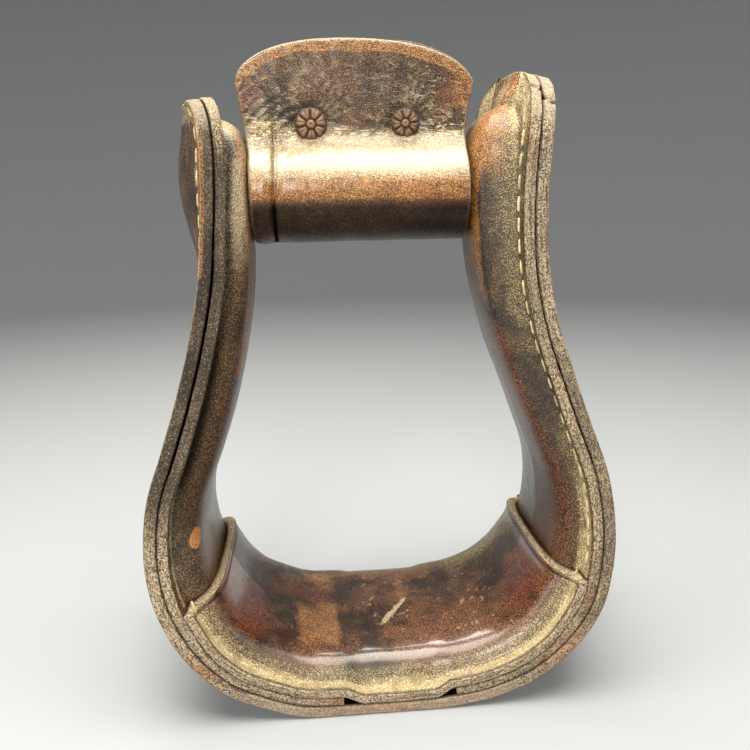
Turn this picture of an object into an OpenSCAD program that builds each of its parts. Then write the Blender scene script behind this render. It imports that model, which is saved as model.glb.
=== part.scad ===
// Western saddle stirrup, bell-bottom pattern: a bent wood bow covered in
// sewn saddle leather, with a bolted roller at the neck and a riveted leather
// guard that swings on the roller.
// Millimetres. +Z up, +X along the bolt, -Y is the front. The origin is the
// middle of the face that the stirrup stands on.

/* [Bow] */
// Widest outside width, across the two bends
bow_w = 167; // [160:1:176]
// Height of the right arm's top above the face it stands on
arm_h = 222; // [215:1:230]
// Depth, front to rear, of the outer strip at the tread
tread_d = 88; // [84:1:96]
// Depth, front to rear, of the outer strip at the neck
neck_d = 52; // [51:1:58]
// Clear width between the two arms at the bolt
neck_clear = 76.4; // [74:0.2:77.4]
// How far the neck stands to the left of the middle of the base
lean = 4; // [0:0.5:6]
// Height of the bolt's axis
bolt_z = 184; // [180:1:188]

/* [Leather] */
// Thickness of the outer strip
strip_t = 4.5; // [3.5:0.1:5]
// Thickness of the arm covers on the arms
cover_t = 3.8; // [3.2:0.1:4.2]
// Thickness of the arm covers where they are skived under the tread cover
skived_t = 3.0; // [2.6:0.1:3.2]
// Thickness of the tread cover
tread_t = 3.6; // [3:0.1:4.2]
// Width of the sewn edge outside the wood
seam_w = 7.8; // [7.2:0.1:8.4]
// Thickness of each leaf of the guard
guard_t = 4.0; // [3.4:0.1:4.4]
// How far the outer strip bulges over the bolt's head
head_bulge = 5.6; // [5:0.1:7]

/* [Hardware] */
// Bolt diameter
bolt_d = 9.5; // [8:0.5:10]
// Roller diameter
roller_d = 26; // [24:0.5:27]
// Height of the guard's flap above the bolt's axis
flap_h = 50; // [44:1:54]
// Half spacing of the two guard rivets
rivet_x = 16.6; // [14:0.2:20]
// Height of the guard rivets above the bolt's axis
rivet_z = 23.5; // [22:0.5:26]

/* [Hidden] */

g = 0.12;              // gap between two layers that are sewn together
L = -1;                // left side
R = 1;                 // right side
sx = bow_w / 167;
sz = arm_h / 222;

// Outside face of each half of the bow, from the middle of the tread up to
// the top of the arm, as round control points (x, z). The right half is the
// fuller one, because the bow leans.
OUT_R = [[0, -0.4], [14, -0.4], [28, 0.4], [43, 3], [58, 9.2], [72, 20.5],
         [82.4, 35], [86.8, 52], [87.6, 68], [85.4, 84.5], [80, 101],
         [73.8, 118], [67, 136], [61.8, 155], [59.2, 173], [58.4, 190],
         [59.6, 205.5], [63, 222]];
OUT_L = [[0, -0.4], [14, -0.4], [28, 0.6], [42, 5.4], [55, 12.4], [66.5, 24.6],
         [74.5, 38.6], [78.7, 53], [79.6, 68], [77.6, 83], [72.2, 98.6],
         [67, 115.6], [62.5, 135], [59.4, 155], [58.6, 173], [58.4, 190],
         [58.8, 204.5], [60.2, 214.5]];
NK = len(OUT_R) - 1;
function row(side) = side > 0 ? OUT_R : OUT_L;
function knot(side, i) = i < 0 ? [-row(-side)[-i][0] * sx, row(-side)[-i][1] * sz]
                 : i > NK ? 2 * knot(side, NK) - knot(side, 2 * NK - i)
                 : [row(side)[i][0] * sx, row(side)[i][1] * sz];
function cr(a, b, c, d, t) = 0.5 * (2 * b + (c - a) * t
    + (2 * a - 5 * b + 4 * c - d) * t * t + (3 * b - a - 3 * c + d) * t * t * t);
function path(side, w) = let (i = min(floor(w), NK - 1), t = w - i)
    cr(knot(side, i - 1), knot(side, i), knot(side, i + 1), knot(side, i + 2), t);
function tang(side, w) = let (d = path(side, w + 0.05) - path(side, max(0, w - 0.05))) d / norm(d);
function nrm(side, w) = let (t = tang(side, w)) [-t[1], t[0]];

// blend from 0 to 1 with flat ends
function sm(t) = let (c = min(1, max(0, t))) c * c * (3 - 2 * c);
function mixv(a, b, t) = a + (b - a) * t;

// How the sections change along w (0 = middle of the tread, NK = arm top)
neckf = function (w) sm((w - 4.5) / 8.5);
strip_hw = function (w) mixv(tread_d, neck_d, neckf(w)) / 2
    * (w < 15.3 ? 1 : pow(1 - pow(min(1, (w - 15.3) / 1.78), 2.5), 1 / 2.5));
// body of wood: half depth and thickness, with a domed arm top
dome = function (w) w < 15.1 ? 1 : pow(max(0.02, 1 - pow(min(1, (w - 15.1) / 1.2), 2.4)), 1 / 2.4);
cov_t = function (w) mixv(skived_t, cover_t, sm((w - 4.6) / 1.0));
// share of the extra edge that the covers give up to the tread cover
under = function (w) 1 - sm((w - 5.2) / 3.2);
neck_wood = function (side) path(side, 15)[0] - neck_clear / 2 - strip_t - cover_t - 2 * g;
wood_h = function (side, w) mixv(8.8, neck_wood(side), sm((w - 3) / 10)) * dome(w);
wood_hw = function (w) (mixv(tread_d, neck_d, neckf(w)) / 2 - seam_w - cov_t(w) - g
    - (tread_t + g) * under(w)) * max(0.42, dome(w));

// skew of the outer face: the front edge of both arms leans to the right
skew = function (side, w) (side < 0 ? -0.22 : 0.19) * sm((w - 10) / 6);
// bulge of the strip over the bolt's head, on the left arm only
function bulge(side, w, v) = side > 0 ? 0
    : let (z = path(side, w)[1], r = sqrt(v * v + pow(0.8 * (z - bolt_z - 5), 2)) / 26)
      r < 1 ? head_bulge * pow(1 - r * r, 2) : 0;

// A point at w along one side: u inward from the outside face, v in depth,
// k = 1 on the outer layers and 0 on the inner face of the arm.
function pt(side, w, u, v, k) = let (p = path(side, w), n = nrm(side, w),
    uu = u + k * skew(side, w) * v)
    [side * (p[0] + n[0] * uu) - lean, v, p[1] + n[1] * uu];

// Signed position: q < 0 on the left, q > 0 on the right.
function qpt(q, u, v, k) = let (side = q < 0 ? L : R) pt(side, abs(q), u, v, k);

// Skin over rings of equal length, closed at both ends; each ring is made
// of a first half and a second half that run side by side.
module skin(rings) {
    n = len(rings);
    m = len(rings[0]);
    h = m / 2;
    sides = [for (i = [0:n - 2], j = [0:m - 1]) let (k = (j + 1) % m,
        a = i * m + j, b = i * m + k, c = (i + 1) * m + k, d = (i + 1) * m + j)
        each [[a, b, c], [a, c, d]]];
    c0 = [for (j = [0:h - 2]) let (a = j, b = j + 1, c = m - 2 - j, d = m - 1 - j)
        each [[a, c, b], [a, d, c]]];
    o = (n - 1) * m;
    c1 = [for (j = [0:h - 2]) let (a = o + j, b = o + j + 1, c = o + m - 2 - j, d = o + m - 1 - j)
        each [[a, b, c], [a, c, d]]];
    polyhedron([for (r = rings) each r], concat(sides, c0, c1), convexity = 10);
}

PH = [7, 16, 28, 42, 60, 76, 90, 104, 120, 138, 152, 164, 173];
EX = 2 / 3.8;
function sev(a, w) = w * (cos(a) < 0 ? 1 : -1) * pow(abs(cos(a)), EX);
function seu(a) = pow(sin(a), EX);

// Hat-shaped section: flat sewn edges and a raised body.
function hat(q, hw, wi, wo, uif, uof, uit, uot, rf) = let (
    A = concat([[-hw, uof, 1], [-(wo + rf), uof, 1], [-(wo + 0.25 * rf), uof + 0.3 * rf, 1]],
        [for (a = PH) [sev(a, wo), uof + (uot - uof) * seu(a), 1 - seu(a)]],
        [[wo + 0.25 * rf, uof + 0.3 * rf, 1], [wo + rf, uof, 1], [hw, uof, 1]]),
    B = concat([[-hw, uif, 1], [-(wo + rf), uif, 1], [-(wi + 0.02), uif, 1]],
        [for (a = PH) [sev(a, wi), uif + (uit - uif) * seu(a), 1 - seu(a)]],
        [[wi + 0.02, uif, 1], [wo + rf, uif, 1], [hw, uif, 1]]),
    n = len(A))
    concat([for (p = A) qpt(q, p[1], p[0], p[2])],
           [for (i = [n - 1:-1:0]) qpt(q, B[i][1], B[i][0], B[i][2])]);

// One list of stations that every layer shares, so that the layers' facets
// lie parallel; each node uses a stretch of it.
HALF = concat([for (i = [1:10]) i * 0.3], [for (i = [1:24]) 3 + i * 0.5],
              [for (i = [1:8]) 15 + i * 0.25]);
ALL = concat([for (i = [len(HALF) - 1:-1:0]) -HALF[i]], HALF);
function between(a, b) = [for (q = ALL) if (q > a - 0.001 && q < b + 0.001) q];

// arm cover section at q
function arm_ring(q) = let (w = abs(q), hw = strip_hw(w), dw = wood_hw(w),
    t = cov_t(w), h = wood_h(q < 0 ? L : R, w), u0 = strip_t + g)
    hat(q, hw, dw + g, dw + g + t, u0, u0 + t, u0 + h + g, u0 + h + g + t,
        q > tread_l - 0.01 && q < tread_r + 0.01 ? 0.02 : 1.4 * min(1, dome(w) + 0.1));

arm_l_end = -0.9;       // the left cover stops left of the middle
arm_r_end = 2.1;        // the right cover stops right of the middle
tread_l = -6;           // ends of the tread cover
tread_r = 6.5;

// arm cover under the tread cover's edge is level 1; between the two covers
// the edge drops to level 0
function level(q) = q < 0.6 ? 1 - sm((q + 0.9) / 0.6) : sm((q - 1.5) / 0.6);

function tread_ring(q) = let (w = abs(q), hw = strip_hw(w), dw = wood_hw(w),
    t = cov_t(w), h = wood_h(q < 0 ? L : R, w), u0 = strip_t + g, k = level(q),
    b = (t + g) * k, wi = dw + g + t + g, wo = wi + tread_t)
    hat(q, hw, wi, wo, u0 + b, u0 + b + tread_t * 0.92, u0 + h + g + t + g,
        u0 + h + g + t + g + tread_t, 1.0);

module at_bolt() translate([-lean, 0, bolt_z]) children();
module bolt_hole(d) {
    at_bolt() translate([-66, 0, 0]) rotate([0, 90, 0]) cylinder(h = 132, d = d, $fn = 48);
}

// bent wood bow, drilled for the bolt and bored for its head and nut
head_x = path(L, 15)[0] - strip_t - g - 2.2;
nut_x = path(R, 15)[0] - strip_t - g - 9;
module bow_core() {
    function ring(q) = let (w = abs(q), dw = wood_hw(w), h = wood_h(q < 0 ? L : R, w), u0 = strip_t + g,
        T = concat([[-dw, u0, 1]], [for (a = PH) [sev(a, dw), u0 + h * seu(a), 1 - seu(a)]], [[dw, u0, 1]]),
        m = len(T), B = [for (i = [0:m - 1]) [mixv(-dw, dw, i / (m - 1)), u0, 1]])
        concat([for (i = [0:m - 1]) qpt(q, T[i][1], T[i][0], T[i][2])],
               [for (i = [m - 2:-1:1]) qpt(q, B[i][1], B[i][0], B[i][2])]);
    rings = [for (q = between(-16.25, 16.25)) ring(q)];
    n = len(rings);
    m = len(rings[0]);
    sides = [for (i = [0:n - 2], j = [0:m - 1]) let (k = (j + 1) % m,
        a = i * m + j, b = i * m + k, c = (i + 1) * m + k, d = (i + 1) * m + j)
        each [[a, b, c], [a, c, d]]];
    h = (m + 2) / 2;
    c0 = [for (j = [1:h - 3]) let (a = j, b = j + 1, c = m - 1 - j, d = m - j)
        each [[a, c, b], [a, d, c]]];
    e0 = [[0, m - 1, 1], [h - 1, h - 2, h]];
    o = (n - 1) * m;
    color([0.62, 0.45, 0.27]) difference() {
        polyhedron([for (r = rings) each r], concat(sides, c0, e0,
            [for (f = concat(c0, e0)) [o + f[2], o + f[1], o + f[0]]]), convexity = 10);
        bolt_hole(bolt_d + 0.6);
        at_bolt() translate([-head_x, 0, 0]) rotate([0, -90, 0]) cylinder(h = 12, d = 26, $fn = 48);
        at_bolt() translate([nut_x, 0, 0]) rotate([0, 90, 0]) cylinder(h = 16, d = 24, $fn = 48);
    }
}

module arm_cover(side) {
    qs = side < 0 ? between(-17, arm_l_end) : between(arm_r_end, 17);
    difference() {
        skin([for (q = qs) arm_ring(q)]);
        bolt_hole(bolt_d + 0.8);
    }
}
module left_arm_cover() color([0.36, 0.2, 0.11]) arm_cover(L);
module right_arm_cover() color([0.38, 0.21, 0.11]) arm_cover(R);

module tread_cover() color([0.3, 0.14, 0.09])
    skin([for (q = between(tread_l, tread_r)) tread_ring(q)]);

// seam line: distance from the middle, and the thread's groove
function seam_v(w) = strip_hw(w) - 5.6;
gr = 0.85;

module outer_strip() {
    function ring(q) = let (side = q < 0 ? L : R, w = abs(q), hw = strip_hw(w),
        s = min(seam_v(w), hw - 5.6), sv = max(s, hw * 0.3),
        vo = [-hw, -sv - gr, -sv - gr, -sv + gr, -sv + gr, -sv * 0.72, -sv * 0.45, -sv * 0.2, 0,
              sv * 0.2, sv * 0.45, sv * 0.72, sv - gr, sv - gr, sv + gr, sv + gr, hw],
        uo = [0, 0, 1.7, 1.7, 0, 0, 0, 0, 0, 0, 0, 0, 0, 1.7, 1.7, 0, 0],
        m = len(vo))
        concat([for (i = [m - 1:-1:0]) let (v = vo[i]) qpt(q, uo[i] - bulge(side, w, v), v, 1)],
               [for (i = [0:m - 1]) let (v = vo[i] * 1 + (i == 1 || i == 14 ? -0.06 : i == 2 || i == 15 ? 0.06 : i == 3 || i == 12 ? -0.06 : 0))
                   qpt(q, strip_t - bulge(side, w, v), v, 1)]);
    color([0.42, 0.29, 0.19]) difference() {
        skin([for (q = ALL) ring(q)]);
        translate([-60, -60, -10]) cube([120, 120, 10]);
    }
}

// round thread swept along one seam; yv = -1 front, 1 rear
module thread_run(yv, outside) {
    r = 0.5;
    function lev(q) = let (w = abs(q), u0 = strip_t + g, a = u0 + cov_t(w),
        e = q < 0 ? -tread_l : tread_r, k = w < e + 0.25 ? 1 : 0,
        b = (cov_t(w) + g) * level(q))
        outside ? 1.06 : (k > 0 ? u0 + b + tread_t * 0.92 : a) + r + 0.12;
    function ring(q) = let (side = q < 0 ? L : R, w = abs(q), v = yv * max(seam_v(w), strip_hw(w) * 0.3),
        u = lev(q) - (outside ? bulge(side, w, v) : 0))
        [for (i = [0:5]) qpt(q, u + r * cos(i * 60 + 30), v + r * sin(i * 60 + 30), 1)];
    skin([for (q = between(-16.25, 16.25)) ring(q)]);
}
module front_seam_thread() color([0.85, 0.78, 0.58]) { thread_run(-1, false); thread_run(-1, true); }
module rear_seam_thread() color([0.85, 0.78, 0.58]) { thread_run(1, false); thread_run(1, true); }

// through-bolt: low round head on the left, nut on the right
module along_x(x) at_bolt() translate([x, 0, 0]) rotate([0, 90, 0]) children();
hw_x = head_x + 1.5;
module stirrup_bolt() color([0.5, 0.5, 0.48]) {
    along_x(-hw_x) cylinder(h = hw_x + nut_x + 6.6, d = bolt_d, $fn = 48);
    along_x(-hw_x) rotate([0, 180, 0]) rotate_extrude($fn = 48)
        polygon([[0, 0], [9.5, 0], [9.5, 1], [8.6, 2.4], [6.6, 3.6], [3.8, 4.4], [0, 4.7]]);
}
module ring_washer(x, d, h) along_x(x) difference() {
    cylinder(h = h, d = d, $fn = 48);
    translate([0, 0, -1]) cylinder(h = h + 2, d = bolt_d + 0.5, $fn = 48);
}
module bolt_head_washer() color([0.45, 0.44, 0.42]) ring_washer(-head_x - 1.45, 25, 1.4);
module nut_washer() color([0.45, 0.44, 0.42]) ring_washer(nut_x + 0.05, 22, 1.3);
module bolt_nut() color([0.42, 0.41, 0.39]) along_x(nut_x + 1.4) difference() {
    cylinder(h = 5, d = 16.5, $fn = 6);
    translate([0, 0, -1]) cylinder(h = 8, d = bolt_d + 0.06, $fn = 48);
}
module left_spacer_washer() color([0.4, 0.38, 0.35]) ring_washer(-neck_clear / 2 + 0.1, 22, 1.2);
module right_spacer_washer() color([0.4, 0.38, 0.35]) ring_washer(neck_clear / 2 - 1.3, 22, 1.2);

roll_l = neck_clear - 3.2;
module roller() color([0.66, 0.5, 0.32]) along_x(-roll_l / 2) difference() {
    cylinder(h = roll_l, d = roller_d, $fn = 64);
    translate([0, 0, -1]) cylinder(h = roll_l + 2, d = bolt_d + 0.16, $fn = 48);
}

// guard: one piece of leather round the roller, its two leaves standing up
guard_l = neck_clear - 1.0;
gri = roller_d / 2 + 0.08;
gro = gri + guard_t;
module guard_profile() {
    // section in depth (x) and height (y) about the bolt's axis
    leaf = guard_t + 0.15;
    union() {
        circle(r = gro, $fn = 64);
        // waist where the leaves close above the roller
        polygon(concat([for (a = [0:10:60]) [gro * cos(30 + a * 0.55), gro * sin(30 + a * 0.55)]],
            [[leaf + 1, gro + 0.4], [leaf + 0.2, gro + 1.2], [leaf, gro + 3], [leaf, flap_h + 2], [-leaf, flap_h + 2],
             [-leaf, gro + 3], [-leaf - 0.2, gro + 1.2], [-leaf - 1, gro + 0.4]],
            [for (a = [60:-10:0]) [-gro * cos(30 + a * 0.55), gro * sin(30 + a * 0.55)]]));
    }
}
module guard_outline() {
    // outline from the front, about the bolt's axis
    hl = guard_l / 2;
    polygon(concat([[-hl, -gro - 2], [hl, -gro - 2], [hl, 20], [hl - 0.4, 28], [hl + 0.6, 33], [hl + 2.4, 36.5]],
        [for (i = [0:12]) let (a = i * 15) [(hl + 2.4) * pow(abs(cos(a)), 0.7) * (cos(a) < 0 ? -1 : 1),
            37 + (flap_h - 37) * pow(sin(a), 0.75)]],
        [[-hl - 2.4, 36.5], [-hl - 0.6, 33], [-hl + 0.4, 28], [-hl, 20]]));
}
module roller_guard() color([0.4, 0.26, 0.16]) at_bolt() difference() {
    intersection() {
        translate([-60, 0, 0]) rotate([90, 0, 90]) linear_extrude(120) guard_profile();
        translate([0, 30, 0]) rotate([90, 0, 0]) linear_extrude(60) guard_outline();
    }
    translate([-60, 0, 0]) rotate([0, 90, 0]) cylinder(h = 120, r = gri, $fn = 64);
    // the slit between the two leaves
    translate([-60, -0.12, 0]) cube([120, 0.24, 80]);
    // rivet holes
    for (x = [-rivet_x, rivet_x]) translate([x, 20, rivet_z]) rotate([90, 0, 0]) cylinder(h = 40, d = 3.2, $fn = 32);
}

// flower-headed rivets: round post, centre boss and seven petals
leaf_y = guard_t + 0.35;
module rosette_rivets() color([0.4, 0.3, 0.2])
    for (x = [-rivet_x, rivet_x]) at_bolt() translate([x, -leaf_y - 0.35, rivet_z]) rotate([90, 0, 0]) {
        translate([0, 0, -2 * leaf_y - 2.6]) cylinder(h = 2 * leaf_y + 3, d = 3, $fn = 32);
        cylinder(h = 1.1, d = 6.6, $fn = 32);
        cylinder(h = 1.9, d = 3.4, $fn = 32);
        for (i = [0:6]) rotate([0, 0, i * 360 / 7 + 90]) translate([3.6, 0, 0]) cylinder(h = 1.4, d = 3.2, $fn = 24);
    }
module rivet_burrs() color([0.6, 0.42, 0.25])
    for (x = [-rivet_x, rivet_x]) at_bolt() translate([x, leaf_y + 0.4, rivet_z]) rotate([-90, 0, 0]) difference() {
        cylinder(h = 1.3, d1 = 10, d2 = 8.6, $fn = 32);
        translate([0, 0, -1]) cylinder(h = 4, d = 3.1, $fn = 32);
    }

bow_core();
left_arm_cover();
right_arm_cover();
tread_cover();
outer_strip();
front_seam_thread();
rear_seam_thread();
stirrup_bolt();
bolt_head_washer();
nut_washer();
bolt_nut();
left_spacer_washer();
right_spacer_washer();
roller();
roller_guard();
rosette_rivets();
rivet_burrs();
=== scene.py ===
import bpy
import math
import numpy as np
from mathutils import Matrix


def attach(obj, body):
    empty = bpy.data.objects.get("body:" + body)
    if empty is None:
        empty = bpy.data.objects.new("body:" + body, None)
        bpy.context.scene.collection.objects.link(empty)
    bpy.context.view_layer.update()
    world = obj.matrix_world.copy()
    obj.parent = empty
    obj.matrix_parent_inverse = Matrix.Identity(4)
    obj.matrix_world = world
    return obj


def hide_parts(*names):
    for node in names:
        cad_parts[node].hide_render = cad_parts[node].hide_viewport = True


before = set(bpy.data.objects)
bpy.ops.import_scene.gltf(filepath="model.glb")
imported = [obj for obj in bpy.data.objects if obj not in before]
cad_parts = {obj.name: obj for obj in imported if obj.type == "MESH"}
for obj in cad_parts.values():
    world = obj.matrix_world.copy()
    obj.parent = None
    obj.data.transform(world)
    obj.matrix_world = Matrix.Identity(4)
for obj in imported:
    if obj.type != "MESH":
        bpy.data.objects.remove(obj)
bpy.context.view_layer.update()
scene = bpy.context.scene
scene.view_settings.view_transform = "Standard"
scene.view_settings.look = "None"
scene.view_settings.exposure = 0.0

# ---------------------------------------------------------------- geometry
# Millimetres here; divided by 1000 when a mesh is made.
OUT_R = np.array([[0, -.4], [14, -.4], [28, .4], [43, 3], [58, 9.2], [72, 20.5], [82.4, 35], [86.8, 52],
                  [87.6, 68], [85.4, 84.5], [80, 101], [73.8, 118], [67, 136], [61.8, 155], [59.2, 173],
                  [58.4, 190], [59.6, 205.5], [63, 222.]])
OUT_L = np.array([[0, -.4], [14, -.4], [28, .6], [42, 5.4], [55, 12.4], [66.5, 24.6], [74.5, 38.6], [78.7, 53],
                  [79.6, 68], [77.6, 83], [72.2, 98.6], [67, 115.6], [62.5, 135], [59.4, 155], [58.6, 173],
                  [58.4, 190], [58.8, 204.5], [60.2, 214.5]])
NK, LEAN, EX = 17, 4.0, 2 / 3.8
G, ST, CT, SK, TT, SEAM, TD, ND, NC, BZ, BULGE = .12, 4.5, 3.8, 3.0, 3.6, 7.8, 88., 52., 76.4, 184., 5.6
TREAD_L, TREAD_R = -6.05, 6.55
ARM_L_END, ARM_R_END = -0.9, 2.1


def knots(O):
    return np.vstack([O[1] * [-1, 1], O, 2 * O[-1] - O[-2], 2 * O[-1] - O[-3]])


KN = {1: knots(OUT_R), -1: knots(OUT_L)}
KN[1][0] = OUT_L[1] * [-1, 1]
KN[-1][0] = OUT_R[1] * [-1, 1]


def path(s, w):
    w = np.asarray(w, float)
    i = np.clip(np.floor(w).astype(int), 0, NK - 1)
    t = (w - i)[..., None]
    K = KN[s]
    a, b, c, d = K[i], K[i + 1], K[i + 2], K[i + 3]
    return 0.5 * (2 * b + (c - a) * t + (2 * a - 5 * b + 4 * c - d) * t * t + (3 * b - a - 3 * c + d) * t ** 3)


def nrm(s, w):
    w = np.asarray(w, float)
    d = path(s, w + .05) - path(s, np.maximum(w - .05, 0))
    d /= np.linalg.norm(d, axis=-1, keepdims=True)
    return np.stack([-d[..., 1], d[..., 0]], -1)


def sm(t):
    c = np.clip(t, 0, 1)
    return c * c * (3 - 2 * c)


def mix(a, b, t):
    return a + (b - a) * t


def bell(x, c, w):
    return np.exp(-((x - c) / w) ** 2)


def hw0(w):
    return mix(TD, ND, sm((w - 4.5) / 8.5)) / 2


def dome(w):
    # past the end of the wood the hollow closes to nothing
    low = mix(.02, .0001, sm((w - 16.35) / .45))
    return np.where(w < 15.1, 1, np.power(np.maximum(low, 1 - np.power(np.clip((w - 15.1) / 1.2, 0, 1), 2.4)), 1 / 2.4))


def hwf(w):
    return hw0(w) * np.where(w < 15.3, 1, np.power(np.maximum(1e-6, 1 - np.power(np.clip((w - 15.3) / 1.78, 0, 1), 2.5)), 1 / 2.5))


def covt(w):
    return mix(SK, CT, sm((w - 4.6) / 1.0))


def under(w):
    return 1 - sm((w - 5.2) / 3.2)


def neckwood(s):
    return path(s, 15.)[0] - NC / 2 - ST - CT - 2 * G


def woodh(q):
    w = np.abs(q)
    return mix(8.8, np.where(q < 0, neckwood(-1), neckwood(1)), sm((w - 3) / 10)) * dome(w)


def woodhw(w):
    return (hw0(w) - SEAM - covt(w) - G - (TT + G) * under(w)) * np.maximum(.42, dome(w))


def bulge(q, w, v):
    z = np.where(q < 0, path(-1, w)[..., 1], -1e3)
    r = np.sqrt(v * v + (.8 * (z - BZ - 5)) ** 2) / 26
    return np.where(r < 1, BULGE * (1 - np.minimum(r, 1) ** 2) ** 2, 0)


def level(q):
    return np.where(q < 0.6, 1 - sm((q + 0.9) / 0.6), sm((q - 1.5) / 0.6))


def place(q, v, u, k):
    """Points of shape (n, m, 3): q is (n,), the rest broadcast to (n, m)."""
    q = np.asarray(q, float)
    w = np.abs(q)
    v, u, k = (np.broadcast_to(np.asarray(a, float), (len(q), np.shape(v)[-1])) for a in (v, u, k))
    side = np.where(q < 0, -1., 1.)
    p = np.where((q < 0)[:, None], path(-1, w), path(1, w))
    n = np.where((q < 0)[:, None], nrm(-1, w), nrm(1, w))
    sk = np.where(q < 0, -.22, .19) * sm((w - 10) / 6)
    uu = u + k * sk[:, None] * v
    return np.stack([side[:, None] * (p[:, 0:1] + n[:, 0:1] * uu) - LEAN, v, p[:, 1:2] + n[:, 1:2] * uu], -1)


# stations by arc length, so that the quads are even
_w = np.linspace(0, NK, 4001)
ARC = {s: np.concatenate([[0], np.cumsum(np.linalg.norm(np.diff(path(s, _w), axis=0), axis=1))]) for s in (-1, 1)}


def arc(q):
    q = np.asarray(q, float)
    return np.where(q < 0, -np.interp(-q, _w, ARC[-1]), np.interp(q, _w, ARC[1]))


def stations(a, b, step):
    lo, hi = float(arc(a)), float(arc(b))
    s = np.linspace(lo, hi, max(4, int(round((hi - lo) / step)) + 1))
    return np.where(s < 0, -np.interp(-s, ARC[-1], _w), np.interp(s, ARC[1], _w))


# value noise in 3-D
def vnoise(P, seed=0):
    i = np.floor(P).astype(np.int64)
    f = P - i
    f = f * f * f * (f * (f * 6 - 15) + 10)

    def h(a, b, c):
        n = (a * 73856093) ^ (b * 19349663) ^ (c * 83492791) ^ (seed * 982451653 + 12345)
        n = n & 0x7fffffff
        n = ((n ^ (n >> 13)) * 1274126177) & 0x7fffffff
        n = ((n ^ (n >> 15)) * 69069) & 0x7fffffff
        return (n >> 8 & 0xffff) / 32767.5 - 1
    x, y, z = i[..., 0], i[..., 1], i[..., 2]
    fx, fy, fz = f[..., 0], f[..., 1], f[..., 2]
    r = 0
    for dx in (0, 1):
        for dy in (0, 1):
            for dz in (0, 1):
                wgt = (fx if dx else 1 - fx) * (fy if dy else 1 - fy) * (fz if dz else 1 - fz)
                r = r + wgt * h(x + dx, y + dy, z + dz)
    return r


def fbm(P, size, octaves=3, seed=0):
    r, a, t = 0, 1.0, 0.0
    for o in range(octaves):
        r = r + a * vnoise(P / size * 2 ** o + 17.3 * o, seed + o)
        t += a
        a *= .5
    return r / t


def grid_normals(V, wrap):
    du = np.gradient(V, axis=0)
    if wrap:
        dv = (np.roll(V, -1, 1) - np.roll(V, 1, 1)) / 2
    else:
        dv = np.gradient(V, axis=1)
    n = np.cross(du, dv)
    return n / np.maximum(np.linalg.norm(n, axis=-1, keepdims=True), 1e-9)


def mesh_object(name, V, F, attrs=None, mat=None, body="bow", nodes=(), uv=None):
    """V in millimetres, F a list of index tuples."""
    V = np.asarray(V, float).reshape(-1, 3)
    me = bpy.data.meshes.new(name)
    me.from_pydata((V / 1000).tolist(), [], F)
    me.validate()
    # outward normals
    tri = 0.0
    co = V
    for f in F[::max(1, len(F) // 20000)]:
        a = co[f[0]]
        for j in range(1, len(f) - 1):
            tri += float(np.dot(a, np.cross(co[f[j]], co[f[j + 1]])))
    if tri < 0:
        me.flip_normals()
    for k, a in (attrs or {}).items():
        at = me.attributes.new(k, "FLOAT", "POINT")
        at.data.foreach_set("value", np.ascontiguousarray(np.asarray(a, np.float32).ravel()))
    if uv is not None:
        at = me.attributes.new("along", "FLOAT_VECTOR", "POINT")
        at.data.foreach_set("vector", np.ascontiguousarray(np.asarray(uv, np.float32).reshape(-1, 3).ravel()))
    me.shade_smooth()
    o = bpy.data.objects.new(name, me)
    scene.collection.objects.link(o)
    if mat:
        me.materials.append(mat)
    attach(o, body)
    if nodes:
        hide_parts(*nodes)
    return o


def loft_faces(n, m, caps=True):
    i, j = np.meshgrid(np.arange(n - 1), np.arange(m), indexing="ij")
    k = (j + 1) % m
    F = np.stack([i * m + j, i * m + k, (i + 1) * m + k, (i + 1) * m + j], -1).reshape(-1, 4).tolist()
    if caps:
        h = m // 2
        for j in range(h - 1):
            F.append([j, m - 1 - j, m - 2 - j, j + 1])
            o = (n - 1) * m
            F.append([o + j, o + j + 1, o + m - 2 - j, o + m - 1 - j])
    return F


def even_angles(n):
    a = np.linspace(0, np.pi, 6001)[1:-1]
    x = 20 * np.sign(-np.cos(a)) * np.abs(np.cos(a)) ** EX
    y = 14 * np.sin(a) ** EX
    L = np.concatenate([[0], np.cumsum(np.hypot(np.diff(x), np.diff(y)))])
    return np.interp(np.linspace(L[-1] * .012, L[-1] * .988, n), L, a)


BODY_A = even_angles(52)
CA = np.sign(-np.cos(BODY_A)) * np.abs(np.cos(BODY_A)) ** EX
SA = np.sin(BODY_A) ** EX


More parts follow.
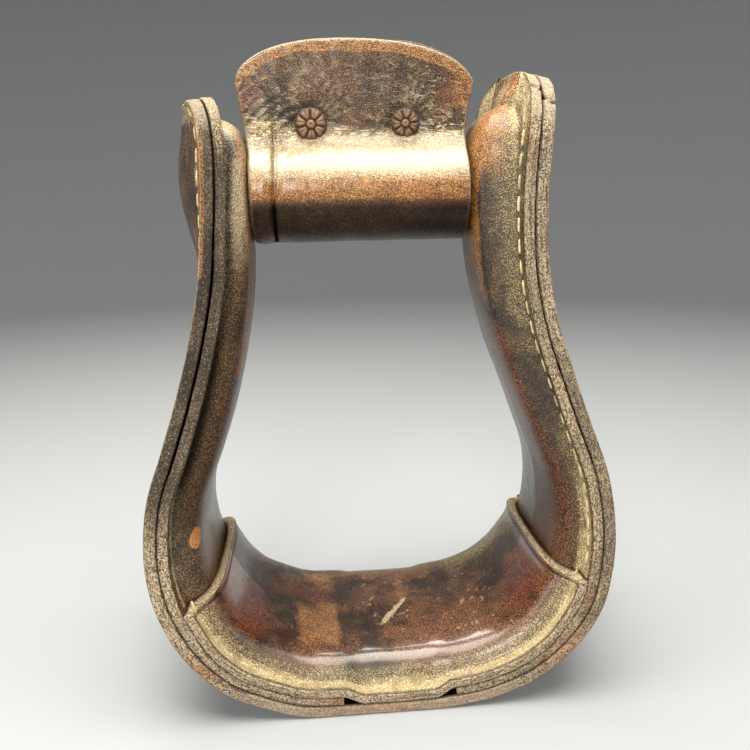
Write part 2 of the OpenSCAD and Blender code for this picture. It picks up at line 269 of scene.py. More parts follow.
def hat(q, hw, wi, wo, uif, uof, uit, uot, rf, re, soft=0.0):
    """Hat section in (v, u, k, region) with rounded cut edges. Region: 0 inside, 1 cut edge, 2 flange, 3 body."""
    n = len(q)
    c = lambda a: np.broadcast_to(np.asarray(a, float), (n,))[:, None]
    hw, wi, wo, uif, uof, uit, uot, rf, re = map(c, (hw, wi, wo, uif, uof, uit, uot, rf, re))
    foot = np.maximum(wo + rf + soft, hw * .2)
    foot = np.minimum(foot, hw - re * 1.5)
    A = []

    def add(v, u, k, reg):
        A.append((v, u, k, reg))
    one = np.ones((n, 1))
    for s in (-1, 1):
        seq = []
        for a in (0, 30, 60, 90):
            a = math.radians(a)
            seq.append((s * (hw - re + re * math.sin(a)), uif + re - re * math.cos(a), one, 1))
        for t in (.25, .42, .58, .75):
            seq.append((s * hw, mix(uif + re, uof - re, t), one, 1))
        for a in (0, 30, 60, 90):
            a = math.radians(a)
            seq.append((s * (hw - re + re * math.cos(a)), uof - re + re * math.sin(a), one, 1 if a < 1.4 else 2))
        for t in np.linspace(.05, 1, 22):
            seq.append((s * mix(hw - re, foot, t), uof, one, 2))
        for t in (.35, .7):
            seq.append((s * mix(foot, wo + soft, t), uof + .30 * min(1, 1) * rf * t * t, one, 2))
        if s < 0:
            A += seq
            for j in range(len(BODY_A)):
                c_, s_ = abs(math.cos(BODY_A[j])), math.sin(BODY_A[j])
                e2 = mix(EX, 2 / 3.7, min(1.0, soft / 2.6))
                vv, ss_ = math.copysign(c_ ** e2, CA[j]), s_ ** e2
                # with soft the foot spreads out into a fillet
                A.append(((wo + soft * (1 - ss_) ** 2) * vv, uof + (uot - uof) * ss_, one * (1 - ss_), 3))
        else:
            A += seq[::-1]
    B = []
    mA = len(A)
    nf = 30
    for t in np.linspace(0, 1, nf):
        B.append((mix(hw - re * 1.4, wi + .02, t), uif, one, 0))
    for j in range(len(BODY_A) - 1, -1, -1):
        B.append((wi * CA[j], uif + (uit - uif) * SA[j], one * (1 - SA[j]), 0))
    for t in np.linspace(0, 1, nf):
        B.append((-mix(wi + .02, hw - re * 1.4, t), uif, one, 0))
    # make both halves equally long
    while len(B) < len(A):
        B.insert(nf // 2, tuple((x + y) / 2 if not isinstance(x, int) else 0 for x, y in zip(B[nf // 2 - 1], B[nf // 2])))
    while len(A) < len(B):
        mid = len(seq) // 2
        A.insert(mid, tuple((x + y) / 2 if not isinstance(x, int) else A[mid][3] for x, y in zip(A[mid - 1], A[mid])))
    L = A + B
    v = np.concatenate([np.broadcast_to(a[0], (n, 1)) for a in L], 1)
    u = np.concatenate([np.broadcast_to(a[1], (n, 1)) for a in L], 1)
    k = np.concatenate([np.broadcast_to(a[2], (n, 1)) for a in L], 1)
    reg = np.array([a[3] for a in L])[None, :] * np.ones((n, 1))
    return v, u, k, reg


# ---------------------------------------------------------------- materials
class Mat:
    def __init__(self, name):
        self.m = bpy.data.materials.new(name)
        self.m.use_nodes = True
        self.t = self.m.node_tree
        self.t.nodes.clear()
        self.out = self.t.nodes.new("ShaderNodeOutputMaterial")
        self.b = self.t.nodes.new("ShaderNodeBsdfPrincipled")
        self.t.links.new(self.b.outputs[0], self.out.inputs[0])
        self.tc = self.t.nodes.new("ShaderNodeTexCoord").outputs["Object"]

    def put(self, sock, val):
        if isinstance(val, bpy.types.NodeSocket):
            self.t.links.new(val, sock)
        elif val is not None:
            if sock.type == "RGBA" and len(val) == 3:
                val = (*val, 1)
            sock.default_value = val

    def math(self, op, a, b=None, c=None, clamp=False):
        n = self.t.nodes.new("ShaderNodeMath")
        n.operation = op
        n.use_clamp = clamp
        for i, x in enumerate((a, b, c)):
            if x is not None:
                self.put(n.inputs[i], x)
        return n.outputs[0]

    def mul(self, a, b):
        return self.math("MULTIPLY", a, b)

    def add(self, a, b):
        return self.math("ADD", a, b)

    def mix(self, fac, a, b, mode="MIX"):
        n = self.t.nodes.new("ShaderNodeMix")
        n.data_type = "RGBA"
        n.blend_type = mode
        n.clamp_factor = True
        self.put(n.inputs[0], fac)
        self.put(n.inputs[6], a)
        self.put(n.inputs[7], b)
        return n.outputs[2]

    def mixf(self, fac, a, b):
        n = self.t.nodes.new("ShaderNodeMix")
        n.data_type = "FLOAT"
        self.put(n.inputs[0], fac)
        self.put(n.inputs[2], a)
        self.put(n.inputs[3], b)
        return n.outputs[0]

    def ss(self, x, lo, hi, a=0.0, b=1.0):
        n = self.t.nodes.new("ShaderNodeMapRange")
        n.interpolation_type = "SMOOTHSTEP"
        self.put(n.inputs[0], x)
        for i, val in zip((1, 2, 3, 4), (lo, hi, a, b)):
            n.inputs[i].default_value = val
        return n.outputs[0]

    def attr(self, name):
        n = self.t.nodes.new("ShaderNodeAttribute")
        n.attribute_name = name
        return n.outputs["Fac"]

    def vec(self, name):
        n = self.t.nodes.new("ShaderNodeAttribute")
        n.attribute_name = name
        return n.outputs["Vector"]

    def scaled(self, vec, s):
        n = self.t.nodes.new("ShaderNodeVectorMath")
        n.operation = "MULTIPLY"
        self.put(n.inputs[0], vec)
        n.inputs[1].default_value = s
        return n.outputs[0]

    def noise(self, scale, detail=4, rough=.55, vec=None, dist=0.0):
        n = self.t.nodes.new("ShaderNodeTexNoise")
        self.put(n.inputs["Vector"], vec or self.tc)
        n.inputs["Scale"].default_value = scale
        n.inputs["Detail"].default_value = detail
        n.inputs["Roughness"].default_value = rough
        n.inputs["Distortion"].default_value = dist
        return n.outputs[0]

    def voronoi(self, scale, feature="F1", vec=None, rand=1.0):
        n = self.t.nodes.new("ShaderNodeTexVoronoi")
        n.feature = feature
        self.put(n.inputs["Vector"], vec or self.tc)
        n.inputs["Scale"].default_value = scale
        n.inputs["Randomness"].default_value = rand
        return n.outputs["Distance"]

    def cells(self, scale):
        n = self.t.nodes.new("ShaderNodeTexVoronoi")
        self.put(n.inputs["Vector"], self.tc)
        n.inputs["Scale"].default_value = scale
        sp = self.t.nodes.new("ShaderNodeSeparateColor")
        self.t.links.new(n.outputs["Color"], sp.inputs[0])
        return n.outputs["Distance"], sp.outputs[0]

    def bump(self, height, strength, dist, normal=None):
        n = self.t.nodes.new("ShaderNodeBump")
        n.inputs["Strength"].default_value = strength
        n.inputs["Distance"].default_value = dist
        self.put(n.inputs["Height"], height)
        if normal is not None:
            self.put(n.inputs["Normal"], normal)
        return n.outputs[0]

    def set(self, **kw):
        for k, val in kw.items():
            self.put(self.b.inputs[k.replace("_", " ")], val)


def lin(r, g, b):
    return tuple(((c / 255 + .055) / 1.055) ** 2.4 if c > 10 else c / 255 / 12.92 for c in (r, g, b))


DARK, MID, LIGHT = lin(34, 21, 12), lin(92, 60, 33), lin(196, 156, 100)
RED, AMBER, TAN = lin(134, 62, 32), lin(206, 140, 66), lin(222, 168, 104)
CREAM, RAWD, RAWL = lin(232, 217, 176), lin(70, 56, 43), lin(186, 166, 136)


def leather(name, dark=DARK, mid=MID, light=LIGHT, rough=.42, pebble=1.0, speck=.6, cell=1900, coat=.25, scratches_and_crease_shade=0, spec=.5):
    M = Mat(name)
    big = M.noise(26, 4)
    medium = M.noise(150, 5)
    fine = M.noise(900, 3, .6)
    grit = M.noise(1700, 2, .75)
    f1, cellr = M.cells(cell)
    tiny = M.noise(2900, 2, .6)
    neg = lambda x: M.math("SUBTRACT", 1.0, x, clamp=True)
    off = lambda x, k: M.mul(M.math("SUBTRACT", x, .5), k)
    red, amber, scuff, dust_and_highlight, raw, shade, pale_and_highlight, suede, raw_darkening, film_and_sheen = (
        M.attr(a) for a in ("red", "amber", "scuff", "dust_and_highlight", "raw", "shade", "pale_and_highlight", "suede", "raw_darkening", "film_and_sheen"))
    gloss = M.attr("gloss")
    wob = M.add(off(medium, 1.1), off(fine, .7))
    mask = lambda a, lo=.30, hi=.62: M.ss(M.add(a, M.mul(wob, a)), lo, hi)
    col = M.mix(M.ss(M.add(big, off(medium, .35)), .40, .60), dark, mid)
    col = M.mix(M.mul(mask(red), .8), col, M.mix(M.ss(fine, .35, .68), RED, lin(74, 34, 20)))
    col = M.mix(M.mul(mask(amber), .85), col, M.mix(M.ss(fine, .30, .80), AMBER, lin(104, 58, 28)))
    # lighter speckle on the tops of the grain (the worn mask): part wear, part painted glints; the furrows hold the dye
    dot = M.mul(M.ss(f1, .60, .12), M.add(.45, M.mul(M.ss(cellr, .1, .9), .55)))
    g = M.add(M.mul(dot, .55), M.mul(grit, .45))
    patchy = M.add(.30, M.mul(M.ss(M.add(big, off(medium, .5)), .36, .64), .70))
    worn = M.mul(M.ss(g, .28, .74), patchy)
    col = M.mix(M.mul(worn, M.mul(neg(M.mul(gloss, .6)), speck)), col, light)
    col = M.mix(M.mul(M.ss(g, .36, .20), .8), col, M.mix(.35, dark, lin(10, 6, 4)))
    # Pale mask: pale wear on cut edges and grain, plus painted highlights on the lit arm-top caps, the roller sleeve
    # and the guard's waist.
    pl = mask(pale_and_highlight, .25, .75)
    col = M.mix(M.mul(pl, .78), col, M.mix(M.ss(g, .10, .55), lin(128, 106, 76), lin(224, 208, 172)))
    sd = mask(suede, .22, 1.0)
    col = M.mix(M.mul(sd, .62), col, M.mix(M.ss(g, .2, .6), lin(104, 66, 38), lin(206, 156, 106)))
    # Film mask: a dusty film, plus painted sheen on the rear of the tread and a painted highlight at the guard's waist.
    fm = M.ss(M.add(film_and_sheen, M.add(off(medium, .7), off(fine, .5))), .28, .95)
    col = M.mix(M.mul(M.mul(fm, M.ss(film_and_sheen, .02, .15)), .85), col, M.mix(M.ss(g, .2, .6), lin(72, 58, 38), lin(196, 178, 130)))
    sc = mask(scuff, .38, .56)
    col = M.mix(sc, col, M.mix(M.ss(g, .2, .6), lin(170, 108, 56), TAN))
    # Dust mask: dust and wax in the seams; on the guard it also paints highlights on the roller sleeve and the flap's
    # left side.
    du = M.ss(M.add(dust_and_highlight, M.add(off(medium, .9), off(grit, .7))), .34, .80)
    du = M.mul(du, M.ss(dust_and_highlight, 0.02, .2))
    duc = M.mix(M.ss(g, .2, .60), lin(160, 142, 106), CREAM)
    duc = M.mix(M.mul(M.ss(medium, .48, .62), .55), duc, lin(120, 104, 74))
    col = M.mix(M.mul(du, .88), col, duc)
    if scratches_and_crease_shade:
        al = M.vec("along")
        ck = M.attr("crinkle")
        cr1 = M.noise(.55, 4, .55, vec=M.scaled(al, (.20, 1.0, .3)), dist=2.4)
        cr2 = M.noise(.40, 3, .55, vec=M.scaled(al, (.55, .8, .3)), dist=3.0)
        cr = M.mixf(.4, cr1, cr2)
        # Crinkle lines: the light ones are fine cracks, the dark ones are painted shade in the wrinkles.
        col = M.mix(M.mul(M.mul(M.ss(cr, .54, .60), ck), .62), col, lin(226, 208, 166))
        col = M.mix(M.mul(M.mul(M.ss(cr, .46, .42), ck), .70), col, lin(40, 25, 14))
        for ang, sc_, amt in ((.55, 1.1, .26), (-.45, .9, .14)):
            rot = M.t.nodes.new("ShaderNodeVectorRotate")
            rot.rotation_type = "Z_AXIS"
            M.put(rot.inputs["Vector"], al)
            rot.inputs["Angle"].default_value = ang
            ln = M.noise(sc_, 3, .5, vec=M.scaled(rot.outputs[0], (.09, 1.0, .2)), dist=1.6)
            ln = M.mul(M.mul(M.ss(ln, .59, .63), M.ss(medium, .47, .62)), neg(gloss))
            col = M.mix(M.mul(M.mul(ln, amt), neg(raw)), col, lin(206, 184, 142))
    # cut edges: fibrous and matted
    fib = M.noise(2.3, 4, .65, vec=M.scaled(M.vec("along"), (.35, 1.0, 1.0)))
    fib2 = M.noise(1.0, 3, .6, vec=M.scaled(M.vec("along"), (.10, 1.6, 1.6)))
    rawc = M.mix(M.ss(grit, .42, .60), RAWD, RAWL)
    rawc = M.mix(M.mul(M.ss(fib, .50, .64), .55), rawc, lin(212, 194, 164))
    rawc = M.mix(M.mul(M.ss(fib2, .50, .62), .6), rawc, lin(58, 44, 33))
    rawc = M.mix(M.mul(mask(M.attr("warm")), .6), rawc, M.mix(M.ss(grit, .42, .6), lin(96, 60, 38), lin(178, 128, 90)))
    # Cut edges go darker with this mask, mostly up the left arm.
    rawc = M.mix(M.mul(raw_darkening, M.add(.35, M.mul(M.ss(g, .58, .46), .6))), rawc, lin(42, 32, 25))
    rawc = M.mix(M.mul(mask(pale_and_highlight, .25, .75), .7), rawc, M.mix(M.ss(g, .45, .58), lin(150, 134, 116), lin(214, 204, 186)))
    col = M.mix(M.mul(raw, neg(M.mul(du, .75))), col, rawc)
    col = M.mix(M.mul(shade, .9), col, lin(14, 9, 6))
    M.set(Base_Color=col)
    rgh = M.mixf(raw, M.add(rough, off(fine, .3)), .8)
    rgh = M.mixf(du, rgh, .8)
    rgh = M.mixf(M.math("MAXIMUM", sc, M.mul(sd, .8)), rgh, .85)
    rgh = M.mixf(M.mul(gloss, .85), rgh, .20)
    M.set(Roughness=rgh)
    soft = neg(M.math("MAXIMUM", raw, M.math("MAXIMUM", du, M.math("MAXIMUM", sc, sd))))
    dim = neg(M.mul(shade, .9))
    M.set(Coat_Weight=M.mul(M.mul(soft, dim), M.add(coat, M.mul(gloss, .6))),
          Coat_Roughness=M.mixf(gloss, .26, .12), Specular_IOR_Level=M.mul(dim, spec))
    h = M.add(M.mul(dot, .9 * pebble), M.add(M.mul(grit, .6), M.mul(fine, .5)))
    hr = M.add(M.mul(fib, 1.4), M.add(M.mul(fine, 1.0), M.mul(grit, 1.0)))
    h = M.mixf(M.math("MAXIMUM", raw, du), h, hr)
    nb = M.bump(M.mul(medium, neg(M.mul(gloss, .6))), .5, .0007)
    nb = M.bump(M.mul(h, neg(M.mul(gloss, .65))), 1.0, .00032, nb)
    M.set(Normal=nb)
    return M.m


strip_mat = leather("strip_leather_mat", speck=.42)
arm_mat = leather("arm_leather_mat", dark=lin(28, 18, 10), mid=lin(100, 65, 34), light=lin(206, 166, 108), speck=.68)
tread_mat = leather("tread_leather_mat", dark=lin(38, 23, 16), mid=lin(108, 68, 45), light=lin(200, 158, 118),
                    rough=.34, pebble=.5, speck=.50, cell=2200, coat=.5)
guard_mat = leather("guard_leather_mat", dark=lin(40, 25, 13), mid=lin(92, 60, 31), light=lin(186, 150, 100), speck=.50,
                    coat=.28, scratches_and_crease_shade=1, spec=.38)


def thread_material(name, col, dirt, amount):
    M = Mat(name)
    n = M.noise(700, 4)
    t = M.noise(2600, 2)
    c = M.mix(M.mul(M.ss(n, .35, .65), amount), col, dirt)
    c = M.mix(M.mul(M.ss(t, .5, .7), .4), c, dirt)
    c = M.mix(M.mul(M.attr("grime"), .9), c, lin(52, 40, 30))
    M.set(Base_Color=c, Roughness=.7, Normal=M.bump(t, .5, .0001))
    return M.m


thread_mat = thread_material("waxed_thread_mat", lin(232, 218, 166), lin(150, 126, 86), .6)


def metal(name, base, dark, rough=.4):
    M = Mat(name)
    n = M.noise(220, 5)
    t = M.noise(1500, 3)
    M.set(Base_Color=M.mix(M.ss(n, .4, .65), base, dark), Metallic=.9,
          Roughness=M.mixf(M.ss(n, .35, .7), rough, rough + .25), Normal=M.bump(t, .25, .0001))
    return M.m


def wood(name, a, b):
    M = Mat(name)
    g1 = M.noise(60, 5, .6, vec=M.scaled(M.tc, (1, 1, .12)), dist=.6)
    g2 = M.noise(900, 3, .6, vec=M.scaled(M.tc, (1, 1, .06)))
    M.set(Base_Color=M.mix(M.ss(M.add(M.mul(g1, .7), M.mul(g2, .3)), .38, .62), a, b), Roughness=.6,
          Normal=M.bump(g2, .4, .0002))
    return M.m


steel = metal("bolt_steel_mat", lin(150, 148, 142), lin(84, 74, 62), .35)
bronze = Mat("rosette_mat")
_n, _t = bronze.noise(500, 5), bronze.noise(2200, 2)
_hi = bronze.attr("high")
bronze.set(Base_Color=bronze.mix(bronze.ss(bronze.add(_hi, bronze.mul(bronze.math("SUBTRACT", _n, .5), .8)), .25, .8),
                                 lin(62, 45, 30), lin(126, 96, 68)),
           Metallic=.15, Roughness=bronze.mixf(_n, .38, .7), Normal=bronze.bump(_t, .3, .0001))
bronze = bronze.m
copper = metal("burr_copper_mat", lin(172, 106, 66), lin(92, 58, 40), .38)
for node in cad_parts.values():
    nm = node.name
    node.data.materials.clear()
    node.data.materials.append(
        wood("bow_wood_mat", lin(170, 126, 78), lin(112, 74, 42)) if nm.startswith("bow_core")
        else wood("roller_wood_mat", lin(186, 150, 104), lin(136, 98, 60)) if nm == "roller"
        else steel)

# ---------------------------------------------------------------- pieces


def zero(shape, *names):
    return {n: np.zeros(shape) for n in names}


MASKS = ("red", "amber", "scuff", "dust_and_highlight", "raw", "shade", "pale_and_highlight", "gloss", "warm", "suede", "raw_darkening", "film_and_sheen", "crinkle")


def along_of(q, v, u):
    return np.stack([np.broadcast_to(arc(q)[:, None], v.shape), v, u], -1)


def rough_edges(V, reg, u, v, q):
    """Displacement for cut edges and grain, by region."""
    P = V.copy()
    fib = fbm(np.stack([np.broadcast_to(arc(q)[:, None], v.shape) / 5, v, u], -1), .8, 3, 5)
    raw = (reg == 1) * 1.0
    return raw * (.16 * fib + .10 * fbm(P, 2.5, 2, 9))


def make_strip():
    q = stations(-16.999, 16.999, 1.05)
    w = np.abs(q)
    hw = hwf(w)[:, None]
    n = len(q)
    re = np.minimum(.95, hw * .3)
    A = []
    for a in (0, 22, 45, 68, 90):
        a = math.radians(a)
        A.append((-(hw - re + re * math.sin(a)), ST - re + re * math.cos(a), 1))
    for t in (.2, .4, .6, .8):
        A.append((-hw, mix(ST - re, re, t), 1))
    for a in (0, 22, 45, 68, 90):
        a = math.radians(a)
        A.append((-(hw - re + re * math.cos(a)), re - re * math.sin(a), 1 if a < .8 else 3))
    for t in np.linspace(.015, .985, 74):
        A.append((mix(-(hw - re), hw - re, t), 0 * hw, 3))
    A += [(-a[0], a[1], a[2]) for a in A[:14][::-1]]
    m2 = len(A)
    B = [(mix(-(hw - re * 1.5), hw - re * 1.5, t), ST + 0 * hw, 0) for t in np.linspace(1, 0, m2)]
    L = A + B
    v = np.concatenate([a[0] for a in L], 1)
    u = np.concatenate([np.broadcast_to(a[1], (n, 1)) for a in L], 1)
    reg = np.array([a[2] for a in L])[None, :] * np.ones((n, 1))
    u = u - bulge(q[:, None] * np.ones_like(v), np.broadcast_to(w[:, None], v.shape), v)
    # sewn channel on the outside and a creased line near each edge
    sv = np.maximum(hw - 5.6, hw * .3)
    out = (reg == 3)
    u = u + out * (.55 * bell(np.abs(v), sv, .75) + .22 * bell(np.abs(v), hw - 1.9, .35))
    V = place(q, v, u, 1)
    N = grid_normals(V, True)
    d = rough_edges(V, reg, u, v, q)
    d += out * (.18 * fbm(V, 18, 3, 3) + .05 * fbm(V, 2.2, 2, 4))
    d -= 1.1 * (reg == 1) * (q > 0)[:, None] * (v < 0) * bell(arc(q)[:, None] - .35 * u, float(arc(16.42)), .5)
    d += .45 * (reg == 1) * sm((w - 15.5) / 1.2)[:, None] * fbm(V, 5, 2, 14)
    # sign of N: outward is away from the middle of the section
    c = V.mean(1, keepdims=True)
    sgn = np.sign(((V - c) * N).sum(-1).mean())
    V = V + N * (d * sgn)[..., None] * (1 - (reg == 0))[..., None]
    V[..., 2] = np.maximum(V[..., 2], 0)
    at = zero(v.shape, *MASKS)
    qq = np.broadcast_to(q[:, None], v.shape)
    ww = np.abs(qq)
    front = v < 0
    at["raw"] = (reg == 1) * 1.0
    at["shade"] = np.where(reg == 0, 1.0, 0) + (reg == 1) * (sm((u + 0 * v - (ST - .6)) / .6) * .8 + (qq < 0) * sm((ww - 7.4) / 2) * .26)
    # thin pale ridge along the outer corner, on the face and on the cut edge beside it
    at["pale_and_highlight"] = out * bell(np.abs(v), hw - .5, .6) * .6 + (reg == 1) * sm((.8 - u) / .6) * .55
    at["warm"] = (reg == 1) * (sm(1 - np.abs(qq - 0) / 8.5) * .5 + np.clip(fbm(V, 22, 2, 31), 0, 1) * .6)
    at["pale_and_highlight"] += (reg == 1) * sm((4.6 - ww) / 1.5) * .55
    at["red"] = out * (np.clip(fbm(V, 34, 2, 8) * .8 + .1, 0, 1))
    at["red"] += out * (qq < 0) * front * bell(np.abs(v), hw - 3.2, 1.6) * sm((ww - 13) / .6) * (1 - sm((ww - 16) / .5)) * .9
    # Painted light: the left strip's front corner and its outer face near the top are coloured amber where that face is
    # lit from the left.
    fs = out * (qq < 0) * front * sm((ww - 12.6) / .8) * (1 - sm((ww - 16.2) / .6))
    at["amber"] = out * np.clip(fbm(V, 26, 2, 12), 0, 1) * .7
    corner = (reg == 1) * (qq < 0) * front * sm((ww - 12.9) / .5) * (1 - sm((ww - 16.0) / .4)) * sm((1.7 - u) / .5)
    at["raw"] = at["raw"] * (1 - corner)
    at["amber"] += corner * 1.4 + fs * bell(np.abs(v), hw - 2.6, 1.9) * 1.3
    at["red"] += corner * .25
    at["pale_and_highlight"] += fs * (bell(np.abs(v), hw - 5.2, 1.3) * .5 + .7 * np.clip(fbm(np.stack([arc(q)[:, None] / 14 + 0 * v, v / 1.6, 0 * v], -1), 1.0, 2, 17), 0, 1) * bell(np.abs(v), hw - 12, 6))
    at["amber"] += out * (qq < 0) * sm((ww - 6.0) / .6) * (1 - sm((ww - 9) / .8)) * .8 * sm((np.abs(v) - hw + 8) / 5)
    at["dust_and_highlight"] = out * (bell(np.abs(v), sv, 1.4) * .42 + sm((6 - V[..., 2]) / 5) * .35) + \
        (reg == 1) * (.06 + .25 * sm((3.2 - ww) / 1.5))
    at["shade"] += out * (bell(np.abs(v), hw - 1.9, .3) * .5)
    at["shade"] = np.clip(at["shade"], 0, 1)
    # Painted light: the cut edges and the outer face grow pale at the arm tops, which face up to the light.
    at["pale_and_highlight"] += (reg == 1) * sm((ww - 15.6) / .8) * .7 + out * sm((ww - 16.0) / .5) * .5
    at["scuff"] = out * np.clip(fbm(V, 9, 3, 21) - .42, 0, 1) * 2.2 * sm((np.abs(v) - hw + 9) / 8)
    # Cut edges darker up the left arm and round the right bend.
    at["raw_darkening"] = (reg == 1) * np.clip(np.where(qq < 0, sm((ww - 7.4) / 2.0) * .95, sm((ww - 5) / 1.5) * (1 - sm((ww - 9.5) / 3)) * .55)
                                       + .35 * fbm(V, 14, 2, 33) - sm((ww - 15.6) / .8) * .6, 0, 1)
    crack = (reg == 1) * (qq > 0) * front * bell(arc(q)[:, None] - .35 * u, float(arc(16.42)), .42)
    at["shade"] = np.clip(at["shade"] + crack * 1.2, 0, 1)
    for i in (0, -1):                             # the cut ends at the arm tops
        at["shade"][i], at["raw"][i], at["pale_and_highlight"][i] = .12, 1, .4
    return mesh_object("outer_strip_leather", V, loft_faces(n, v.shape[1]), at, strip_mat, "bow", ["outer_strip"],
                       along_of(q, v, u))


def W0(w):
    return w[:, None]


def make_arm(side):
    lo, hi = (-16.999, ARM_L_END) if side < 0 else (ARM_R_END, 16.999)
    q = stations(lo, hi, .95)
    w = np.abs(q)
    hw, dw, t, h, u0 = hwf(w), woodhw(w), covt(w), woodh(q), ST + G
    ends = TREAD_L if side < 0 else TREAD_R
    cov = (q > ends) if side < 0 else (q < ends)
    rf = np.where(cov, .4, 1.6 * np.minimum(1, dome(w) + .1))
    v, u, k, reg = hat(q, hw - .12 * (w < 16.9), dw + G, dw + G + t, u0, u0 + t, u0 + h + G, u0 + h + G + t, rf,
                       np.minimum(.55, hw * .25), 1.0)
    n, m = v.shape
    H = hw[:, None]
    s = arc(q)[:, None]
    sv = np.maximum(H - 5.6, H * .3)
    open_ = (~cov)[:, None] * 1.0
    fl = (reg == 2)
    body = (reg == 3)
    # sewn channel and the creased line by the edge
    pitch = 7.0
    hole = np.abs(((s / pitch) % 1) - .5) * 2
    u = u - fl * open_ * (.45 * bell(np.abs(v), sv, .8) + .35 * bell(np.abs(v), sv, .7) * sm((hole - .72) / .2)
                          + .3 * bell(np.abs(v), H - 1.35, .32))
    # the sewn edge lifts a little off the strip in places
    lift = (sm((w - 9) / 1.2) * (1 - sm((w - 13) / 1.5)) * .6 if side < 0 else sm((w - 9) / 2) * .22)[:, None]
    u = u + lift * sm((-v - (H - 5.0)) / 4.5) * (reg < 3) * sm((H - 3) / 10)
    V = place(q, v, u, k)
    N = grid_normals(V, True)
    c = V.mean(1, keepdims=True)
    N *= np.sign(((V - c) * N).sum(-1).mean())
    d = rough_edges(V, reg, u, v, q)
    if side > 0:
        d -= .9 * (reg == 1) * (v < 0) * bell(s - .2 * u, float(arc(16.62)), .45)
    d += .4 * ((reg == 1) | fl) * sm((W0(w) - 15.6) / 1.0) * fbm(V, 4, 2, 15)
    lump = .22 * fbm(V, 24, 3, 40 + side) + .07 * fbm(V, 4, 2, 44) + .03 * fbm(V, 1.2, 2, 45)
    # long shallow wrinkles that run with the arm on the inner side
    wr = fbm(np.stack([np.broadcast_to(s / 16, v.shape), v / 2.6, u / 2.6], -1), 1.0, 3, 50 + side)
    d += (fl | body) * open_ * (lump + .10 * wr * body)
    V = V + N * d[..., None]
    V[..., 2] = np.maximum(V[..., 2], .2)
    at = zero(v.shape, *MASKS)
    W = np.broadcast_to(w[:, None], v.shape)
    Z = V[..., 2]
    X = V[..., 0] + LEAN
    front = (v < 0) * 1.0
    at["raw"] = (reg == 1) * 1.0
    gapd = (reg == 1) * sm((ST + G + .7 - u) / .6)
    at["shade"] = np.where(reg == 0, 1, 0) + gapd * .95 + fl * bell(np.abs(v), H - 1.35, .3) * .7 * open_
    vb = np.abs(v) / np.maximum(dw + G + t, 1)[:, None]          # 1 at the side of the body
    nf = fbm(V, 16, 3, 60)
    if side > 0:
        at["dust_and_highlight"] = fl * (bell(np.abs(v), sv + .4, 1.7) * (.62 + .25 * nf) * mix(.55, 1, front)
                           + sm((10.2 - W) / 2.2) * sm((H - 1.6 - np.abs(v)) / 1.6) * .62 * front)
        at["dust_and_highlight"] += body * sm((.42 - SAcol(m)) / .25) * (sm((10.8 - W) / 3) * .5 + .22 + sm((W - 14.6) / 1.4) * .5) * front
        at["dust_and_highlight"] += (fl | (reg == 1)) * sm((W - 15.4) / .8) * .5 + body * sm((W - 15.9) / .3) * .35
        # Painted highlight: amber along the body's rounded inner rim and over the top of the arm; the noise term is the
        # leather's own amber.
        at["amber"] = body * (bell(SAcol(m), .93, .10) * front * sm((W - 11.5) / 2.5) * .8
                              + sm((W - 14.2) / 1.2) * front * .6 + np.clip(nf, 0, 1) * .5)
        at["red"] = body * (bell(SAcol(m), .86, .14) * front * (sm((W - 6.8) / .8) - sm((W - 11.6) / 1.5)) * 1.1
                            + np.clip(fbm(V, 22, 2, 61), 0, 1) * .35)
        # Painted light: the cut edges, flange and body grow pale at the arm top, which faces up to the light.
        at["pale_and_highlight"] = (reg == 1) * (sm((W - 15.9) / .4) * .9) + (fl * sm((W - 16.1) / .4) * .6)
        at["pale_and_highlight"] += body * sm((W - 15.5) / .6) * sm((.9 - vb) / .4) * .5
        at["shade"] = at["shade"] + (reg == 1) * front * bell(s - .2 * u, float(arc(16.62)), .4) * 1.2
        at["raw_darkening"] = (reg == 1) * np.clip(.18 + .4 * nf, 0, 1) * sm((15.8 - W) / .8)
    else:
        at["dust_and_highlight"] = fl * bell(np.abs(v), sv + .3, 1.5) * (.30 + .3 * nf) + fl * sm((9.6 - W) / 1.6) * bell(np.abs(v), sv - 1.2, 1.4) * .5
        at["dust_and_highlight"] += body * sm((.30 - SAcol(m)) / .2) * .25 * front + (reg == 1) * sm((W - 15.8) / .5) * .5
        # Painted highlight: amber along the body's rounded rim and on its upper part; the noise term is the leather's
        # own amber.
        at["amber"] = body * (bell(SAcol(m), .95, .07) * front * (sm((W - 11.3) / .5) - sm((W - 13.6) / 1.0)) * 1.3
                              + bell(SAcol(m), .80, .16) * front * sm((W - 12.8) / 1.5) * .75
                              + np.clip(nf, 0, 1) * .3)
        at["red"] = body * (bell(SAcol(m), .92, .12) * front * (sm((W - 8) / 1.0) - sm((W - 12.4) / 1.2)) * 1.1)
